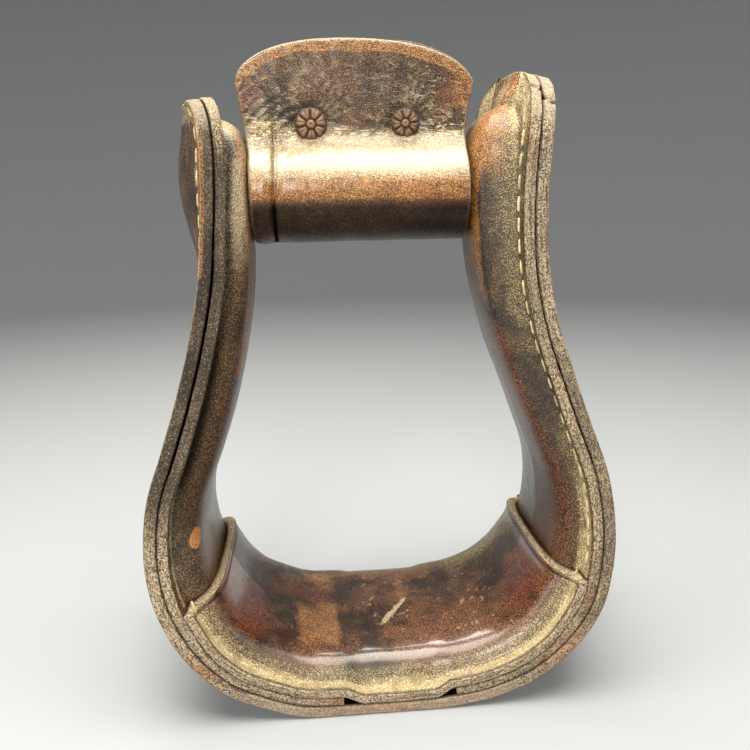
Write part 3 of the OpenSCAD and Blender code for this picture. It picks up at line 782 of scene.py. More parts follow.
        # Painted light: the cut edges, flange and body grow pale at the arm top, which faces up to the light.
        at["pale_and_highlight"] = (reg == 1) * (sm((W - 15.9) / .4) * .7) + (fl * sm((W - 16.0) / .4) * .7)
        at["pale_and_highlight"] += body * (sm((W - 15.6) / .5) * .7)
        at["raw_darkening"] = (reg == 1) * np.clip(.85 + .4 * nf, 0, 1) * sm((15.9 - W) / .8) * sm((W - 7.2) / 2.5)
        at["scuff"] = 1.3 * np.exp(-(((s - arc(-7.75)) / 5.0) ** 2 + ((v + 25.6 + .05 * (s - arc(-7.75))) / 3.4) ** 2) ** 1.5) * (fl | body) * front
        at["scuff"] += body * front * bell(SAcol(m), .9, .05) * (bell(W, 11.62, .10) + .7 * bell(W, 11.9, .16)) * .9
        at["shade"] = at["shade"] + fl * bell(np.abs(v), sv, .9) * .35 * sm((W - 9.5) / 1.5) * front
    at["gloss"] = body * bell(SAcol(m), .97, .10) * .35
    sa = SAcol(m)
    if side > 0:
        at["film_and_sheen"] = ((fl * .70 + body * sm((.70 - sa) / .6) * .62) * front * (1 + .8 * nf)
                      + body * sm((W - 10.5) / 3) * sm((.90 - sa) / .3) * .35 * front)
        at["shade"] = at["shade"] + fl * front * bell(np.abs(v), sv, 1.3) * sm((hole - .80) / .12) * .7 * sm((W - 12) / 2)
        at["shade"] = at["shade"] + body * front * (bell(sa, 1.0, .10) * .30 * sm((14.6 - W) / 1.5) + .30 * bell(W, 8.4, 1.6) * sm((sa - .25) / .3))
        at["red"] = at["red"] + body * front * bell(W, 7.8, 1.6) * sm((sa - .35) / .3) * .8
    else:
        at["film_and_sheen"] = (fl * .60 + body * sm((.55 - sa) / .45) * .55) * front * (1 + .5 * nf) * sm((W - 5.8) / 1.5)
        at["shade"] = at["shade"] + body * front * sm((.45 - sa) / .4) * sm((W - 8.5) / 1.5) * sm((16 - W) / 1) * (.22 + .4 * sm((13 - W) / 1.5))
        at["shade"] = at["shade"] + body * front * (sm((W - 7.6) / 1) * (1 - sm((W - 13) / 1.5))) * .42
        at["pale_and_highlight"] = at["pale_and_highlight"] + body * front * bell(W, 14.4, 1.5) * bell(sa, .6, .45) * .85
    at["shade"] = np.clip(at["shade"] + fl * open_ * bell(np.abs(v), sv, 1.0) * .18, 0, 1)
    if side < 0:
        at["shade"] = np.clip(at["shade"] + (reg == 1) * sm((W - 7.4) / 2) * .20 + body * front * bell(W, 9.5, 2.2) * .16, 0, 1)
    else:
        at["shade"] = np.clip(at["shade"] + body * front * bell(W, 8.4, 2.0) * .16, 0, 1)
    at["warm"] = (reg == 1) * np.clip(fbm(V, 20, 2, 71 + side) + .1 + sm((5 - W) / 3) * .4, 0, 1) * .8
    i = 0 if side < 0 else -1                     # the cut end at the arm top
    at["shade"][i], at["raw"][i], at["pale_and_highlight"][i] = .12, 1, .4
    name = "left_arm_cover" if side < 0 else "right_arm_cover"
    return mesh_object(name + "_leather", V, loft_faces(n, m), at, arm_mat, "bow", [name], along_of(q, v, u))


_sa_cache = {}


def SAcol(m):
    """How far up the body each column of a hat section is, 0 at the seam and 1 at the crown."""
    if m not in _sa_cache:
        q = np.array([8.0, 8.1])
        _, u, k, reg = hat(q, 30., 18., 20., 4., 8., 20., 24., 1., .7)
        c = np.zeros(u.shape[1])
        c[reg[0] == 3] = (1 - k[0])[reg[0] == 3]
        _sa_cache[m] = c[None, :]
    return _sa_cache[m]


def make_tread():
    q = stations(TREAD_L, TREAD_R, .8)
    w = np.abs(q)
    s = arc(q)
    e = np.minimum(s - s[0], s[-1] - s)           # mm from the nearest end
    # finer stations at both ends for the rounded cut
    q = np.concatenate([np.interp([0, .12, .3, .55, .9, 1.3], s - s[0], q), q[2:-2],
                        np.interp(np.array([1.3, .9, .55, .3, .12, 0]) * -1 + s[-1], s, q)])
    w, s = np.abs(q), arc(q)
    e = np.minimum(s - s[0], s[-1] - s)
    lv = level(q)
    hw, dw, t, h, u0 = hwf(w), woodhw(w), covt(w), woodh(q), ST + G
    b = (t + G) * lv
    wi = dw + G + t + G
    th = TT * np.sqrt(np.clip(1 - ((1.3 - np.minimum(e, 1.3)) / 1.3) ** 2 * .72, .05, 1))
    wo = wi + th
    v, u, k, reg = hat(q, hw, wi, wo, u0 + b, u0 + b + th * .92, u0 + h + G + t + G, u0 + h + G + t + G + th, 1.3, .55, 2.6)
    n, m = v.shape
    H, E, S = hw[:, None], e[:, None], s[:, None]
    sv = H - 5.6
    fl, body = reg == 2, reg == 3
    u = u - fl * (.4 * bell(np.abs(v), sv, .7) + .25 * bell(np.abs(v), H - 1.3, .3))
    V = place(q, v, u, k)
    N = grid_normals(V, True)
    c = V.mean(1, keepdims=True)
    N *= np.sign(((V - c) * N).sum(-1).mean())
    d = rough_edges(V, reg, u, v, q)
    d += (fl | body) * (.28 * fbm(V, 26, 3, 80) + .05 * fbm(V, 3.5, 2, 81))
    # crease parallel to each end, and a fat rolled lip
    d += (fl | body) * (-.55 * bell(E, 3.4, .5) + .35 * bell(E, 1.7, 1.0))
    # pits and dents of wear
    pit = np.clip(fbm(V, 3.0, 2, 83) - .45, 0, 1)
    d -= body * pit * .35 * sm((SAcol(m) - .9) / .1)
    V = V + N * d[..., None]
    V[..., 2] = np.maximum(V[..., 2], .3)
    at = zero(v.shape, *MASKS)
    at["raw"] = ((reg == 1) | ((E < 1.15) & (reg > 0))) * 1.0
    at["shade"] = np.where(reg == 0, 1, 0) + (reg == 1) * sm((.6 - (u - (u0 + b)[:, None])) / .6) * .7
    at["shade"] += (fl | body) * bell(E, 3.4, .45) * .8 + fl * bell(np.abs(v), H - 1.3, .28) * .5
    front = (v < 0) * 1.0
    X = V[..., 0] * 1.0
    sa = SAcol(m)
    nf0 = fbm(V, 10, 3, 84)
    vb2 = np.abs(v) / wo[:, None]
    # Film mask: dusty film on the flanges and the foot of the body; the rear term and the term towards the right end
    # paint sheen on the top.
    at["film_and_sheen"] = (fl * .85 + body * sm((.82 - sa) / .55) * .95) * mix(.55, 1, front) * (1 + .4 * nf0) + body * (1 - front) * sm((sa - .5) / .3) * bell(v, 26, 9) * .5
    at["film_and_sheen"] += body * sm((X - 18) / 22) * sm((sa - .6) / .3) * (.30 + .4 * np.clip(nf0, 0, 1)) * mix(1, .5, front)
    nf = fbm(V, 14, 3, 85)
    at["dust_and_highlight"] = fl * sm((H - 1.1 - np.abs(v)) / 1.2) * mix(.45, .95, front) * (1 + .35 * nf)
    at["dust_and_highlight"] += body * (sm((.70 - sa) / .6) * .30 + sm((.34 - sa) / .22) * .40) * mix(.6, 1, front) * (1 + .9 * nf)
    at["dust_and_highlight"] += (reg == 1) * .16 * front
    at["pale_and_highlight"] = at["pale_and_highlight"] + (reg == 1) * .35
    # suede patches where the foot has worn the grain away
    vv = v / H
    nb = 2.6 * fbm(V, 7, 3, 86)
    patch = lambda x0, x1, v0, v1, soft=6.0: sm((X + nb - x0) / soft) * sm((x1 - X - nb) / soft) * sm((v + nb - v0) / soft) * sm((v1 - v + nb) / soft) * (.82 + .5 * nf0)
    top = body * sm((sa - .8) / .15)
    at["suede"] = top * (patch(-36, -13, -36, 4) * .95 + patch(-34, -14, 6, 30) * .7 + patch(5, 16, -4, 28) * .9 + patch(8, 19, -18, -6) * .9
                         + patch(-10, 3, -14, -3) * .6 + patch(-60, -30, -34, -20, 9) * .35)
    at["amber"] = top * (np.clip(nf, 0, 1) * .35 + patch(-48, -18, -34, -8, 8) * .4)
    at["red"] = (body | fl) * np.clip(fbm(V, 30, 2, 87) * .7 + .10, 0, 1) * sm((sa - .45) / .3)
    at["red"] += body * (bell(X, -58, 10) * bell(sa, .93, .10) * front * .7 + bell(X, 56, 8) * bell(sa, .92, .10) * front * .8)
    at["pale_and_highlight"] = at["pale_and_highlight"] + top * (np.clip(fbm(V, 1.5, 3, 88) * .75 + .25 * fbm(V, 9, 2, 82), 0, 1) * 1.1 * sm((X + 14) / 10) * sm((58 - X) / 18) * sm((v + 36) / 10)
                        + 1.2 * bell(v - 1.5 * (X - 3) + 12, 0, 1.6) * sm((X + 1) / 3) * sm((13 - X) / 3))
    at["gloss"] = body * bell(sa, .86, .16) * front * 1.2 + body * .06
    at["warm"] = (reg == 1) * np.clip(fbm(V, 18, 2, 89), 0, 1) * .7
    at["shade"] = np.clip(at["shade"], 0, 1)
    return mesh_object("tread_cover_leather", V, loft_faces(n, m), at, tread_mat, "bow", ["tread_cover"],
                       along_of(q, v, u))


def capsule(nl=9, nr=8):
    """Unit stitch: along x from -1 to 1, radius 1 in y and z."""
    t = np.linspace(-1, 1, nl)
    r = np.sqrt(np.clip(1 - np.abs(t) ** 4, 0, 1))
    r[0] = r[-1] = .25
    a = np.linspace(0, 2 * np.pi, nr, endpoint=False)
    P = np.stack([np.repeat(t, nr), np.outer(r, np.cos(a)).ravel(), np.outer(r, np.sin(a)).ravel()], -1)
    F = loft_faces(nl, nr, False)
    F.append(list(range(nr))[::-1])
    F.append([(nl - 1) * nr + j for j in range(nr)])
    return P, F


def make_stitches(yv, name, node):
    rng = np.random.default_rng(7 if yv < 0 else 8)
    P0, F0 = capsule(11, 10)
    Vs, Fs, gr = [], [], []
    pitch = 7.0
    for outside in (False, True):
        for s0 in np.arange(float(arc(-16.3)), float(arc(16.3)), pitch):
            sc = (math.floor(s0 / pitch)) * pitch + pitch * .0
            q = float(np.where(sc < 0, -np.interp(-sc, ARC[-1], _w), np.interp(sc, ARC[1], _w)))
            w = abs(q)
            ln = rng.uniform(2.2, 2.7)
            rr = rng.uniform(.50, .64)
            qs = [float(np.where(x < 0, -np.interp(-x, ARC[-1], _w), np.interp(x, ARC[1], _w))) for x in (sc - ln, sc, sc + ln)]
            on_tread = TREAD_L < q < TREAD_R
            qa = np.array(qs)
            wa = np.abs(qa)
            v = yv * np.maximum(hwf(wa) - 5.6, hwf(wa) * .3)
            u0 = ST + G
            if outside:
                u = .35 - bulge(qa, wa, v) + 0 * wa
            elif on_tread:
                u = u0 + (covt(wa) + G) * level(qa) + TT * .92 - .42
            else:
                u = u0 + covt(wa) - .15
            pts = np.array([place(qa[i:i + 1], np.array([[v[i]]]), np.array([[u[i]]]), 1)[0, 0] for i in range(3)])
            if outside and pts[:, 2].min() < .3:
                pts[:, 2] = np.maximum(pts[:, 2], .45)
            t = pts[2] - pts[0]
            L2 = np.linalg.norm(t) / 2
            t = t / np.linalg.norm(t)
            # the stitch slants a little, as saddle stitching does
            bi = np.array([0, 1., 0]) - t * t[1]
            bi /= np.linalg.norm(bi)
            t2 = t + bi * .09 * yv
            t2 /= np.linalg.norm(t2)
            nn = np.cross(t2, bi)
            sag = (pts[0] + pts[2]) / 2 - pts[1]
            X = P0[:, 0:1]
            C = pts[1] + t2 * X * L2 + sag * X ** 2
            V = C + bi * P0[:, 1:2] * rr + nn * P0[:, 2:3] * rr * .85
            V = V + .05 * fbm(V, 1.0, 2, 3)[:, None]
            V[:, 2] = np.maximum(V[:, 2], .02)
            Fs += [[i + len(Vs) * len(P0) for i in f] for f in F0]
            Vs.append(V)
            g = .25
            if outside:
                g = .35
            elif q < 0 and not on_tread:
                g = .85 if yv < 0 else .5
            elif on_tread:
                g = .22
            elif w > 14.5:
                g = .3
            else:
                g = .12
            gr.append(np.full(len(P0), np.clip(g + rng.uniform(-.15, .15), 0, 1)))
    V = np.concatenate(Vs)
    return mesh_object(name, V, Fs, {"grime": np.concatenate(gr)}, thread_mat, "bow", [node])


# guard: one sheet round the roller, both leaves up
def make_guard():
    RI, RO, T = 13.08, 17.08, 4.0
    # outer contour of the front half from the bottom of the roller to the leaf, in (y, z) about the axis, y forward
    a = np.radians(np.linspace(-90, 35, 46))
    arcp = np.stack([RO * np.cos(a), RO * np.sin(a)], -1)
    t = np.linspace(0, 1, 16)[1:, None]
    p0 = arcp[-1]
    tg = np.array([-math.sin(math.radians(35)), math.cos(math.radians(35))])
    p1, p2, p3 = p0 + 6.5 * tg, np.array([4.15, 17.0]), np.array([4.15, 23.5])
    bez = (1 - t) ** 3 * p0 + 3 * (1 - t) ** 2 * t * p1 + 3 * (1 - t) * t * t * p2 + t ** 3 * p3
    low = np.concatenate([arcp, bez])                 # bottom -> waist
    nlow, nleaf = len(low), 44
    nx = 190
    xi = np.linspace(-1, 1, nx)
    HL = NC / 2 - .5
    zs = np.array([-20, 14, 20, 28, 33, 38, 60])
    WL = np.interp
    wl = np.array([38.0, 38.4, 39.2, 40.4, 41.2, 41.9, 41.9])
    wr = np.array([37.7, 37.7, 37.9, 38.8, 39.9, 41.3, 41.3])
    ztop_l, ztop_r, zc = 37.8, 35.2, 51.7

    def ztop(x):
        # x is -1..1; the crown is a little left of the middle
        c = -.12
        r = np.where(x < c, (c - x) / (1 + c), (x - c) / (1 - c))
        base = np.where(x < c, ztop_l, ztop_r)
        return base + (zc - base) * np.power(np.clip(1 - r ** 2.35, 0, 1), .52)

    def contour(x, rear):
        zt = ztop(x) + (rear * (.3 + 1.7 * sm((x - .05) / .5)) if rear else 0)
        tl = np.linspace(0, 1, nleaf + 1)[1:]
        leaf = np.stack([np.full(nleaf, 4.15), 23.5 + (zt - 23.5) * tl], -1)
        return np.concatenate([low, leaf])
    nz = nlow + nleaf
    OUTC = np.zeros((2, nx, nz, 2))
    for r in (0, 1):
        for i, x in enumerate(xi):
            OUTC[r, i] = contour(x, r)
    # tangent and normal in the section
    dT = np.gradient(OUTC, axis=2)
    dT /= np.maximum(np.linalg.norm(dT, axis=-1, keepdims=True), 1e-9)
    NN = np.stack([dT[..., 1], -dT[..., 0]], -1)       # outward
    X01 = np.broadcast_to(xi[None, :, None], OUTC.shape[:3])
    zz = OUTC[..., 1]
    wid = np.where(X01 < 0, np.interp(zz, zs, wl), np.interp(zz, zs, wr))
    XX = X01 * wid
    e = np.minimum(XX + np.where(X01 < 0, wid, 1e3), np.where(X01 >= 0, wid - XX, 1e3))     # from the side edge
    ft = OUTC[:, :, -1:, 1] - zz                                                             # below the top edge
    # how far the outside stands out
    d = np.zeros_like(XX)
    P = np.stack([XX, OUTC[..., 0] * np.where(np.arange(2)[:, None, None] == 0, -1, 1), zz], -1)
    fronts = (np.arange(2)[:, None, None] == 0)
    d += .25 * fbm(P, 20, 3, 90) + .04 * fbm(P, 2.5, 2, 91)
    # fine wrinkles fanning from the rivets over the waist
    for rx in (-16.6, 16.6):
        dx, dz = XX - rx, zz - 23.5
        ang, rad = np.arctan2(dz, dx), np.hypot(dx, dz)
        fan = fbm(np.stack([ang * 11, rad / 7, fronts + 0 * ang], -1), 1.0, 3, 93 + int(rx))
        d += fan * .20 * np.exp(-((rad - 10) / 8) ** 2) * sm((rad - 5.2) / 2)
        d -= .75 * np.exp(-(rad / 6.4) ** 4)                       # the rivet pulls the leather in
    wv = fbm(np.stack([XX / 7, (zz + .10 * XX) / 1.1, fronts * 3.0 + 0 * zz], -1), 1.0, 3, 97)
    d += wv * .50 * bell(zz, 19.5, 4.2) * (1 + .5 * sm((XX - 10) / 15))
    wl_ = fbm(np.stack([np.hypot(XX + 16, zz - 6) / 1.3, np.arctan2(zz - 6, XX + 16) * 2.2, fronts * 2.0 + 0 * zz], -1), 1.0, 3, 99)
    d += wl_ * .50 * sm((-14 - XX) / 10) * bell(zz, 22, 10)
    wv2 = fbm(np.stack([(XX + zz * .7) / 3.2, (zz - XX * .9) / 11, 0 * zz + 5.], -1), 1.0, 3, 98)
    d += wv2 * .30 * sm((zz - 22) / 8) * fronts
    # rolled band at the left end, with a crease beside it
    cx = -30.2 + .9 * np.sin(zz / 9)
    d += fronts * (-.95 * bell(XX, cx, .75) + .55 * bell(XX, cx - 3.8, 2.6) - .5 * bell(XX, cx + 3, 2.4)) * sm((30 - zz) / 10)
    d += fronts * .5 * bell(XX, -22, 7) * bell(zz, 19, 6) * -1
    re = 1.0
    rt = np.sqrt(np.clip(1 - (1 - np.clip(e / re, 0, 1)) ** 2, 0, 1))
    tp = np.sqrt(np.clip(1 - (1 - np.clip(ft / re, 0, 1)) ** 2, 0, 1))
    edge = np.minimum(rt, tp)
    # the two leaves part a little along the top, mostly on the right
    part = sm((zz - 36) / 11) * (.35 + 1.0 * sm((X01 - .1) / .6))
    off = np.where(np.arange(2)[:, None, None] == 0, .35, 1.0) * part
    O = OUTC + NN * (d - (1 - edge) * re)[..., None]
    I = OUTC - NN * (T + (edge - 1) * re)[..., None]
    I[..., 0] = np.maximum(I[..., 0], .10)
    O[..., 0] += off
    I[..., 0] += off
    O[..., 0] = np.maximum(O[..., 0], .4)
    # one closed ring per x: front outside top -> bottom -> rear outside top, then back along the inside
    ysg = (-1, 1)
    ring_o = np.concatenate([O[0][:, ::-1], O[1][:, 1:]], 1)
    ring_i = np.concatenate([I[0][:, ::-1], I[1][:, 1:]], 1)
    sy = np.concatenate([np.full(nz, -1.), np.full(nz - 1, 1.)])
    xo = np.concatenate([XX[0][:, ::-1], XX[1][:, 1:]], 1)
    Vo = np.stack([xo - LEAN, ring_o[..., 0] * sy, ring_o[..., 1] + BZ], -1)
    Vi = np.stack([xo - LEAN, ring_i[..., 0] * sy, ring_i[..., 1] + BZ], -1)
    # cut-edge columns at each end of the loop, so that the edge has its own points
    n, m = Vo.shape[:2]
    ed = [mix(Vo[:, -1], Vi[:, -1], t) for t in (.2, .4, .6, .8)]
    ed0 = [mix(Vi[:, 0], Vo[:, 0], t) for t in (.2, .4, .6, .8)]
    V = np.concatenate([Vo, np.stack(ed, 1), Vi[:, ::-1], np.stack(ed0, 1)], 1)
    M_ = V.shape[1]
    # side cut edges: extra rings between outside and inside at both ends
    F = loft_faces(n, M_, False)
    # close each side with its own strip of points
    h = m + 4
    extra, base = [], n * M_
    allV = [V.reshape(-1, 3)]
    at_r = []
    flat = lambda i, j: i * M_ + (j % M_)
    for end, i in ((0, 0), (1, n - 1)):
        nsub = 3
        prev = [flat(i, j) for j in range(m)]
        inner = [flat(i, m + 4 + (m - 1 - j)) for j in range(m)]
        A, B = V[i, :m], V[i, m + 4:m + 4 + m][::-1]
        rows = [prev]
        for sidx in range(1, nsub + 1):
            t = sidx / (nsub + 1)
            row = mix(A, B, t)
            row[:, 0] += (-1 if end == 0 else 1) * .35 * math.sin(math.pi * t)
            rows.append([base + j for j in range(m)])
            allV.append(row)
            base += m
        rows.append(inner)
        for r0, r1 in zip(rows[:-1], rows[1:]):
            for j in range(m - 1):
                f = [r0[j], r0[j + 1], r1[j + 1], r1[j]]
                F.append(f[::-1] if end == 0 else f)
        # the two little top edges at the corners
        F.append(([rows[0][0]] + [flat(i, M_ - 1 - x) for x in range(4)][::1] + [inner[0]] + [rows[k][0] for k in range(nsub, 0, -1)]))
        F.append(([rows[0][-1]] + [flat(i, m + x) for x in range(4)] + [inner[-1]] + [rows[k][-1] for k in range(nsub, 0, -1)]))
    VV = np.concatenate(allV)
    # masks
    at = {k: np.zeros(len(VV)) for k in MASKS}
    col = lambda A2: np.concatenate([A2[0][:, ::-1], A2[1][:, 1:]], 1)
    z_, x_, e_, ft_, fr_ = col(zz), xo, col(e), col(ft), col(np.broadcast_to(fronts * 1.0, zz.shape))
    full = lambda o: np.concatenate([o, np.repeat(o[:, -1:], 4, 1), np.zeros_like(o), np.repeat(o[:, :1], 4, 1)], 1).ravel()
    nn = n * M_
    nf = fbm(np.stack([x_, z_, fr_ * 30], -1), 12, 3, 101)
    y_ = ring_o[..., 0]
    theta = np.degrees(np.arctan2(z_, y_))
    sleeve = sm((16 - z_) / 3)
    raw = np.zeros_like(z_)
    raw = sm((1.0 - np.minimum(ft_, e_)) / .6)
    # Round the roller sleeve the colour goes by angle: a painted highlight (pale, dust, gloss) on the upper front, a
    # painted lit band of amber across the middle, painted red glints just below it, and painted shade underneath. The
    # pale and film bands at the waist and the pale patch at the left of the flap are painted highlights too.
    A = {
        "raw": raw,
        "warm": raw * .8,
        "amber": sm((5.6 - ft_ + 1.5 * nf) / 2.4) * 1.0 + sleeve * bell(theta, 5, 15) * 1.0 + .15 * np.clip(nf, 0, 1)
        + bell(x_, 36, 6) * sm((z_ - 24) / 6) * .5,
        "red": bell(z_, 34, 6) * (bell(x_, 34, 10) + bell(x_, -38, 7)) * .8 + sleeve * bell(theta, -9, 9) * (.45 + .7 * sm((x_ - 0) / 20))
        + bell(x_, -34, 3.2) * sm((26 - z_) / 8) * .5,
        "dust_and_highlight": (bell(z_, 19.5, 4.2) * .22 + bell(x_, -30, 9) * bell(z_, 25, 9) * .16) * (1 + .6 * nf)
        + sleeve * bell(theta, 48, 18) * .20,
        "pale_and_highlight": sm((2.2 - ft_) / 1.6) * .7 + sleeve * np.minimum(bell(theta, 47, 27) * 1.7, 1.25) + bell(z_, 18, 5) * .75 + bell(x_, -33, 7) * bell(z_, 24, 9) * .5,
        "film_and_sheen": bell(z_, 19, 5) * .45 + bell(x_, -32, 8) * bell(z_, 22, 10) * .4 + .12,
        "shade": sleeve * sm((-3 - theta) / 16) * .78 + bell(x_, -30.2, .8) * sm((28 - z_) / 10) * .5 * fr_
        + sum(bell(np.hypot(x_ - rx, z_ - 23.5), 6.3, 1.1) * .32 for rx in (-16.6, 16.6)),
        "gloss": sleeve * (.32 + .38 * bell(theta, 44, 24)) + bell(z_, 18, 4) * .15,
        "crinkle": bell(z_, 20.5, 5.0) * (.75 + .25 * sm((x_ - 8) / 12)) * sm((z_ - 12) / 4) + bell(x_, -33, 9) * bell(z_, 23, 10) * .6
        + .22 * sm((z_ - 24) / 6) * (1 - sm((z_ - 40) / 6)) + .25 * bell(x_, 30, 10) * sm((z_ - 22) / 6),
        "scuff": np.clip(nf * 1.0 - .72, 0, 1) * 1.2 + bell(x_, 1.5, 1.6) * bell(theta, 14, 5) * sleeve * .7,
    }
    for k_, a_ in A.items():
        at[k_][:nn] = full(a_)
    # inside faces dark and raw, side edges raw
    ins = np.zeros((n, M_))
    ins[:, m + 4:2 * m + 4] = 1
    ed_ = np.zeros((n, M_))
    ed_[:, m:m + 4] = 1
    ed_[:, 2 * m + 4:] = 1
    at["raw"][:nn] = np.maximum(at["raw"][:nn], np.maximum(ed_, ins * .8).ravel())
    at["pale_and_highlight"][:nn] = np.maximum(at["pale_and_highlight"][:nn], (ed_ * .8).ravel())
    at["shade"][:nn] = np.maximum(at["shade"][:nn], (ins * .55).ravel())
    at["raw"][nn:] = .7
    at["shade"][nn:] = .15
    for k_ in at:
        at[k_] = np.clip(at[k_], 0, 1.5)
    uv = np.zeros_like(VV)
    uv[:, 0], uv[:, 1], uv[:, 2] = VV[:, 0], VV[:, 2], VV[:, 1]
    return mesh_object("roller_guard_leather", VV, F, at, guard_mat, "guard", ["roller_guard"], uv)


def make_rosettes():
    nr, na = 40, 140
    r = np.concatenate([np.linspace(0.02, 5.5, nr - 4), [5.75, 5.9, 5.9, 5.2]])
    a = np.linspace(0, 2 * np.pi, na, endpoint=False)
    R, Aa = np.meshgrid(r, a, indexing="ij")
    Vs, Fs, hs = [], [], []
    off = 0
    for cx, worn, spin in ((-16.6, 0.0, .22), (16.6, .45, .9)):
        Rr = R * (.95 if worn == 0 else .86)
        ph = (Aa * 7 / (2 * np.pi) + spin) % 1 - .5
        petal = np.sqrt(np.clip(1 - (np.abs(ph) / .47) ** 2.4, 0, 1))
        prof = np.sqrt(np.clip(1 - ((R - 3.75) / 1.95) ** 2, 0, 1))
        hgt = .95 * petal * prof
        # a furrow down each petal and a seed-like boss
        hgt -= .28 * np.exp(-(ph / .10) ** 2) * prof * sm((R - 2.2) / 1.2)
        boss = 1.25 * np.sqrt(np.clip(1 - (R / 1.75) ** 2, 0, 1)) - .5 * np.exp(-(R / .55) ** 2)
        hgt = np.maximum(hgt, boss)
        P = np.stack([Rr * np.cos(Aa), 0 * R, Rr * np.sin(Aa)], -1)
        hgt = hgt * (1 - worn) + worn * (hgt * .75 + .35 * fbm(P + cx, 2.2, 3, 7))
        base = .55 * np.sqrt(np.clip(1 - (R / 6.3) ** 2, 0, 1)) + .2
        y = -(base + hgt)
        y[-2:] = 0.5
        y[-1] = 0.8
        y += -.05 * fbm(P + cx, .9, 2, 9)
        x = Rr * np.cos(Aa)
        z = Rr * np.sin(Aa)
        V = np.stack([x + cx - LEAN, y - 4.15 + .35, z + BZ + 23.5], -1).reshape(-1, 3)
        F = []
        for i in range(nr - 1):
            for j in range(na):
                k = (j + 1) % na
                F.append([off + i * na + j, off + (i + 1) * na + j, off + (i + 1) * na + k, off + i * na + k])
        F.append([off + j for j in range(na)][::-1])
        F.append([off + (nr - 1) * na + j for j in range(na)])
        Vs.append(V)
        Fs += F
        hs.append(np.clip(hgt / 1.15, 0, 1).ravel() * (1 - .25 * worn))
        off += nr * na
        # shank through both leaves, peened over the burr
        prof2 = [(.02, -3.6), (1.45, -3.6), (1.5, 4.9), (1.5, 6.0), (2.15, 6.15), (2.0, 6.75), (1.1, 7.1), (.02, 7.15)]
        m2 = 32
        aa = np.linspace(0, 2 * np.pi, m2, endpoint=False)
        V2 = np.array([[cx - LEAN + pr * math.cos(b), py, BZ + 23.5 + pr * math.sin(b)] for pr, py in prof2 for b in aa])
        F2 = [[off + i * m2 + j, off + i * m2 + (j + 1) % m2, off + (i + 1) * m2 + (j + 1) % m2, off + (i + 1) * m2 + j]
              for i in range(len(prof2) - 1) for j in range(m2)]
        F2.append([off + j for j in range(m2)][::-1])
        F2.append([off + (len(prof2) - 1) * m2 + j for j in range(m2)])
        Vs.append(V2)
        Fs += F2
        hs.append(np.full(len(V2), .8))
        off += len(V2)
    return mesh_object("rosette_rivets_cast", np.concatenate(Vs), Fs, {"high": np.concatenate(hs)}, bronze, "guard",
                       ["rosette_rivets"])


def make_burrs():
    Vs, Fs, off, m2 = [], [], 0, 64
    prof = [(1.55, 4.35), (4.4, 4.35), (4.95, 4.6), (5.0, 5.0), (4.6, 5.45), (3.4, 5.75), (2.2, 5.7), (1.6, 5.5)]
    for cx in (-16.6, 16.6):
        aa = np.linspace(0, 2 * np.pi, m2, endpoint=False)
        V = np.array([[cx - LEAN + pr * math.cos(b), py + .05 * math.sin(3 * b + cx), BZ + 23.5 + pr * math.sin(b)] for pr, py in prof for b in aa])
        n = len(prof)
        Fs += [[off + i * m2 + j, off + i * m2 + (j + 1) % m2, off + ((i + 1) % n) * m2 + (j + 1) % m2, off + ((i + 1) % n) * m2 + j]
               for i in range(n) for j in range(m2)]
        Vs.append(V)
        off += len(V)
    return mesh_object("rivet_burrs_copper", np.concatenate(Vs), Fs, None, copper, "guard", ["rivet_burrs"])


make_strip()
make_arm(-1)
make_arm(1)
make_tread()
make_stitches(-1, "front_seam_stitches", "front_seam_thread")
make_stitches(1, "rear_seam_stitches", "rear_seam_thread")
make_guard()
make_rosettes()
make_burrs()

# ---------------------------------------------------------------- stage
fl_v = []
prof = [(0.0005, 0)] + [(r, 0) for r in (.3, .7, 1.1)]
for a_ in np.linspace(6, 80, 12):
    a_ = math.radians(a_)
    prof.append((1.1 + .7 * math.sin(a_), .7 * (1 - math.cos(a_))))
prof.append((1.85, 1.6))
m_ = 96
V_ = [(r * math.cos(b), r * math.sin(b), z - .0002) for r, z in prof for b in np.linspace(0, 2 * np.pi, m_, endpoint=False)]
F_ = [[i * m_ + j, i * m_ + (j + 1) % m_, (i + 1) * m_ + (j + 1) % m_, (i + 1) * m_ + j] for i in range(len(prof) - 1) for j in range(m_)]
me = bpy.data.meshes.new("floor")
me.from_pydata(V_, [], F_)
me.shade_smooth()
floor = bpy.data.objects.new("floor", me)
scene.collection.objects.link(floor)
FM = Mat("floor_mat")
FM.set(Base_Color=(.315, .335, .365), Roughness=.8)
me.materials.append(FM.m)

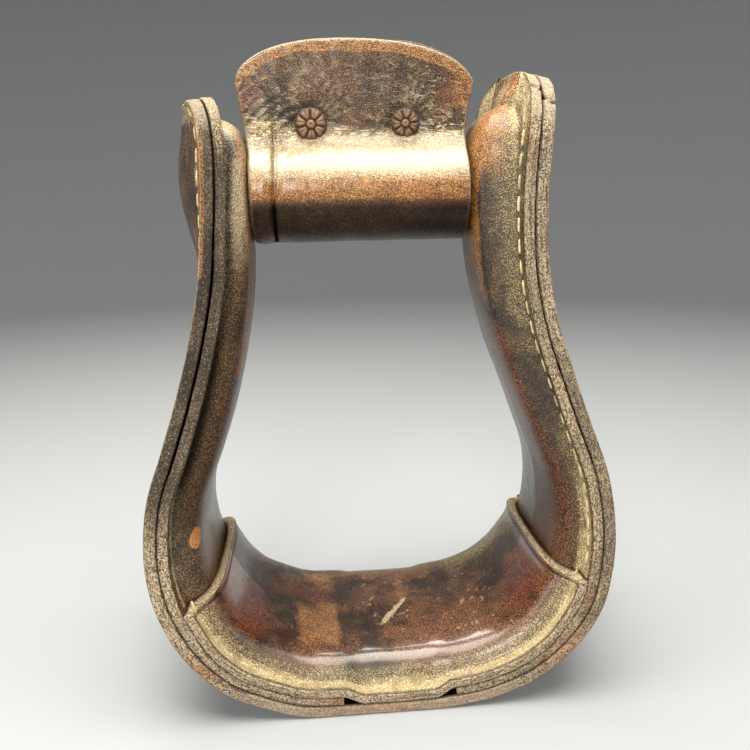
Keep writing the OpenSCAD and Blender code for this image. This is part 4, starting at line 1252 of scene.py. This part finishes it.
world = bpy.data.worlds.new("studio")
scene.world = world
world.use_nodes = True
world.node_tree.nodes["Background"].inputs[0].default_value = (1, .955, .88, 1)
world.node_tree.nodes["Background"].inputs[1].default_value = .20


def area(name, loc, target, size, power, color=(1, 1, 1)):
    d = bpy.data.lights.new(name, "AREA")
    d.shape = "RECTANGLE"
    d.size, d.size_y = size
    d.energy = power
    d.color = color
    o = bpy.data.objects.new(name, d)
    scene.collection.objects.link(o)
    from mathutils import Vector
    o.location = loc
    o.rotation_mode = "QUATERNION"
    o.rotation_quaternion = (Vector(target) - Vector(loc)).to_track_quat("-Z", "Y")
    return o


area("key_top", (-.04, -.06, .82), (0, 0, .1), (.80, .62), 19, (1, .945, .83))
area("fill_front", (-.25, -.95, .50), (0, 0, .1), (.42, .34), 8.5, (1, .945, .84))
area("fill_right", (.8, -.35, .5), (0, 0, .1), (.4, .5), 2.0, (1, .96, .88))
area("fill_left", (-.85, -.30, .35), (-.06, 0, .16), (.35, .5), 2.6, (1, .94, .84))

# camera
CX, CY, CZ, PI_, RO_, YA, FP = -22.285, -280.409, 183.062, 13.436, -1.081, 4.653, 752.1
p, r, a = map(math.radians, (PI_, RO_, YA))
Fv = np.array([math.sin(a) * math.cos(p), math.cos(a) * math.cos(p), -math.sin(p)])
r0 = np.array([math.cos(a), -math.sin(a), 0])
u0_ = np.array([math.sin(a) * math.sin(p), math.cos(a) * math.sin(p), math.cos(p)])
Rv = math.cos(r) * r0 + math.sin(r) * u0_
Uv = -math.sin(r) * r0 + math.cos(r) * u0_
cam = bpy.data.cameras.new("camera")
cam.sensor_width = 36
cam.lens = FP * 36 / 750
cam.clip_start, cam.clip_end = .01, 20
co = bpy.data.objects.new("camera", cam)
scene.collection.objects.link(co)
Mx = Matrix(((Rv[0], Uv[0], -Fv[0], CX / 1000), (Rv[1], Uv[1], -Fv[1], CY / 1000), (Rv[2], Uv[2], -Fv[2], CZ / 1000), (0, 0, 0, 1)))
co.matrix_world = Mx
scene.camera = co

bpy.context.view_layer.update()
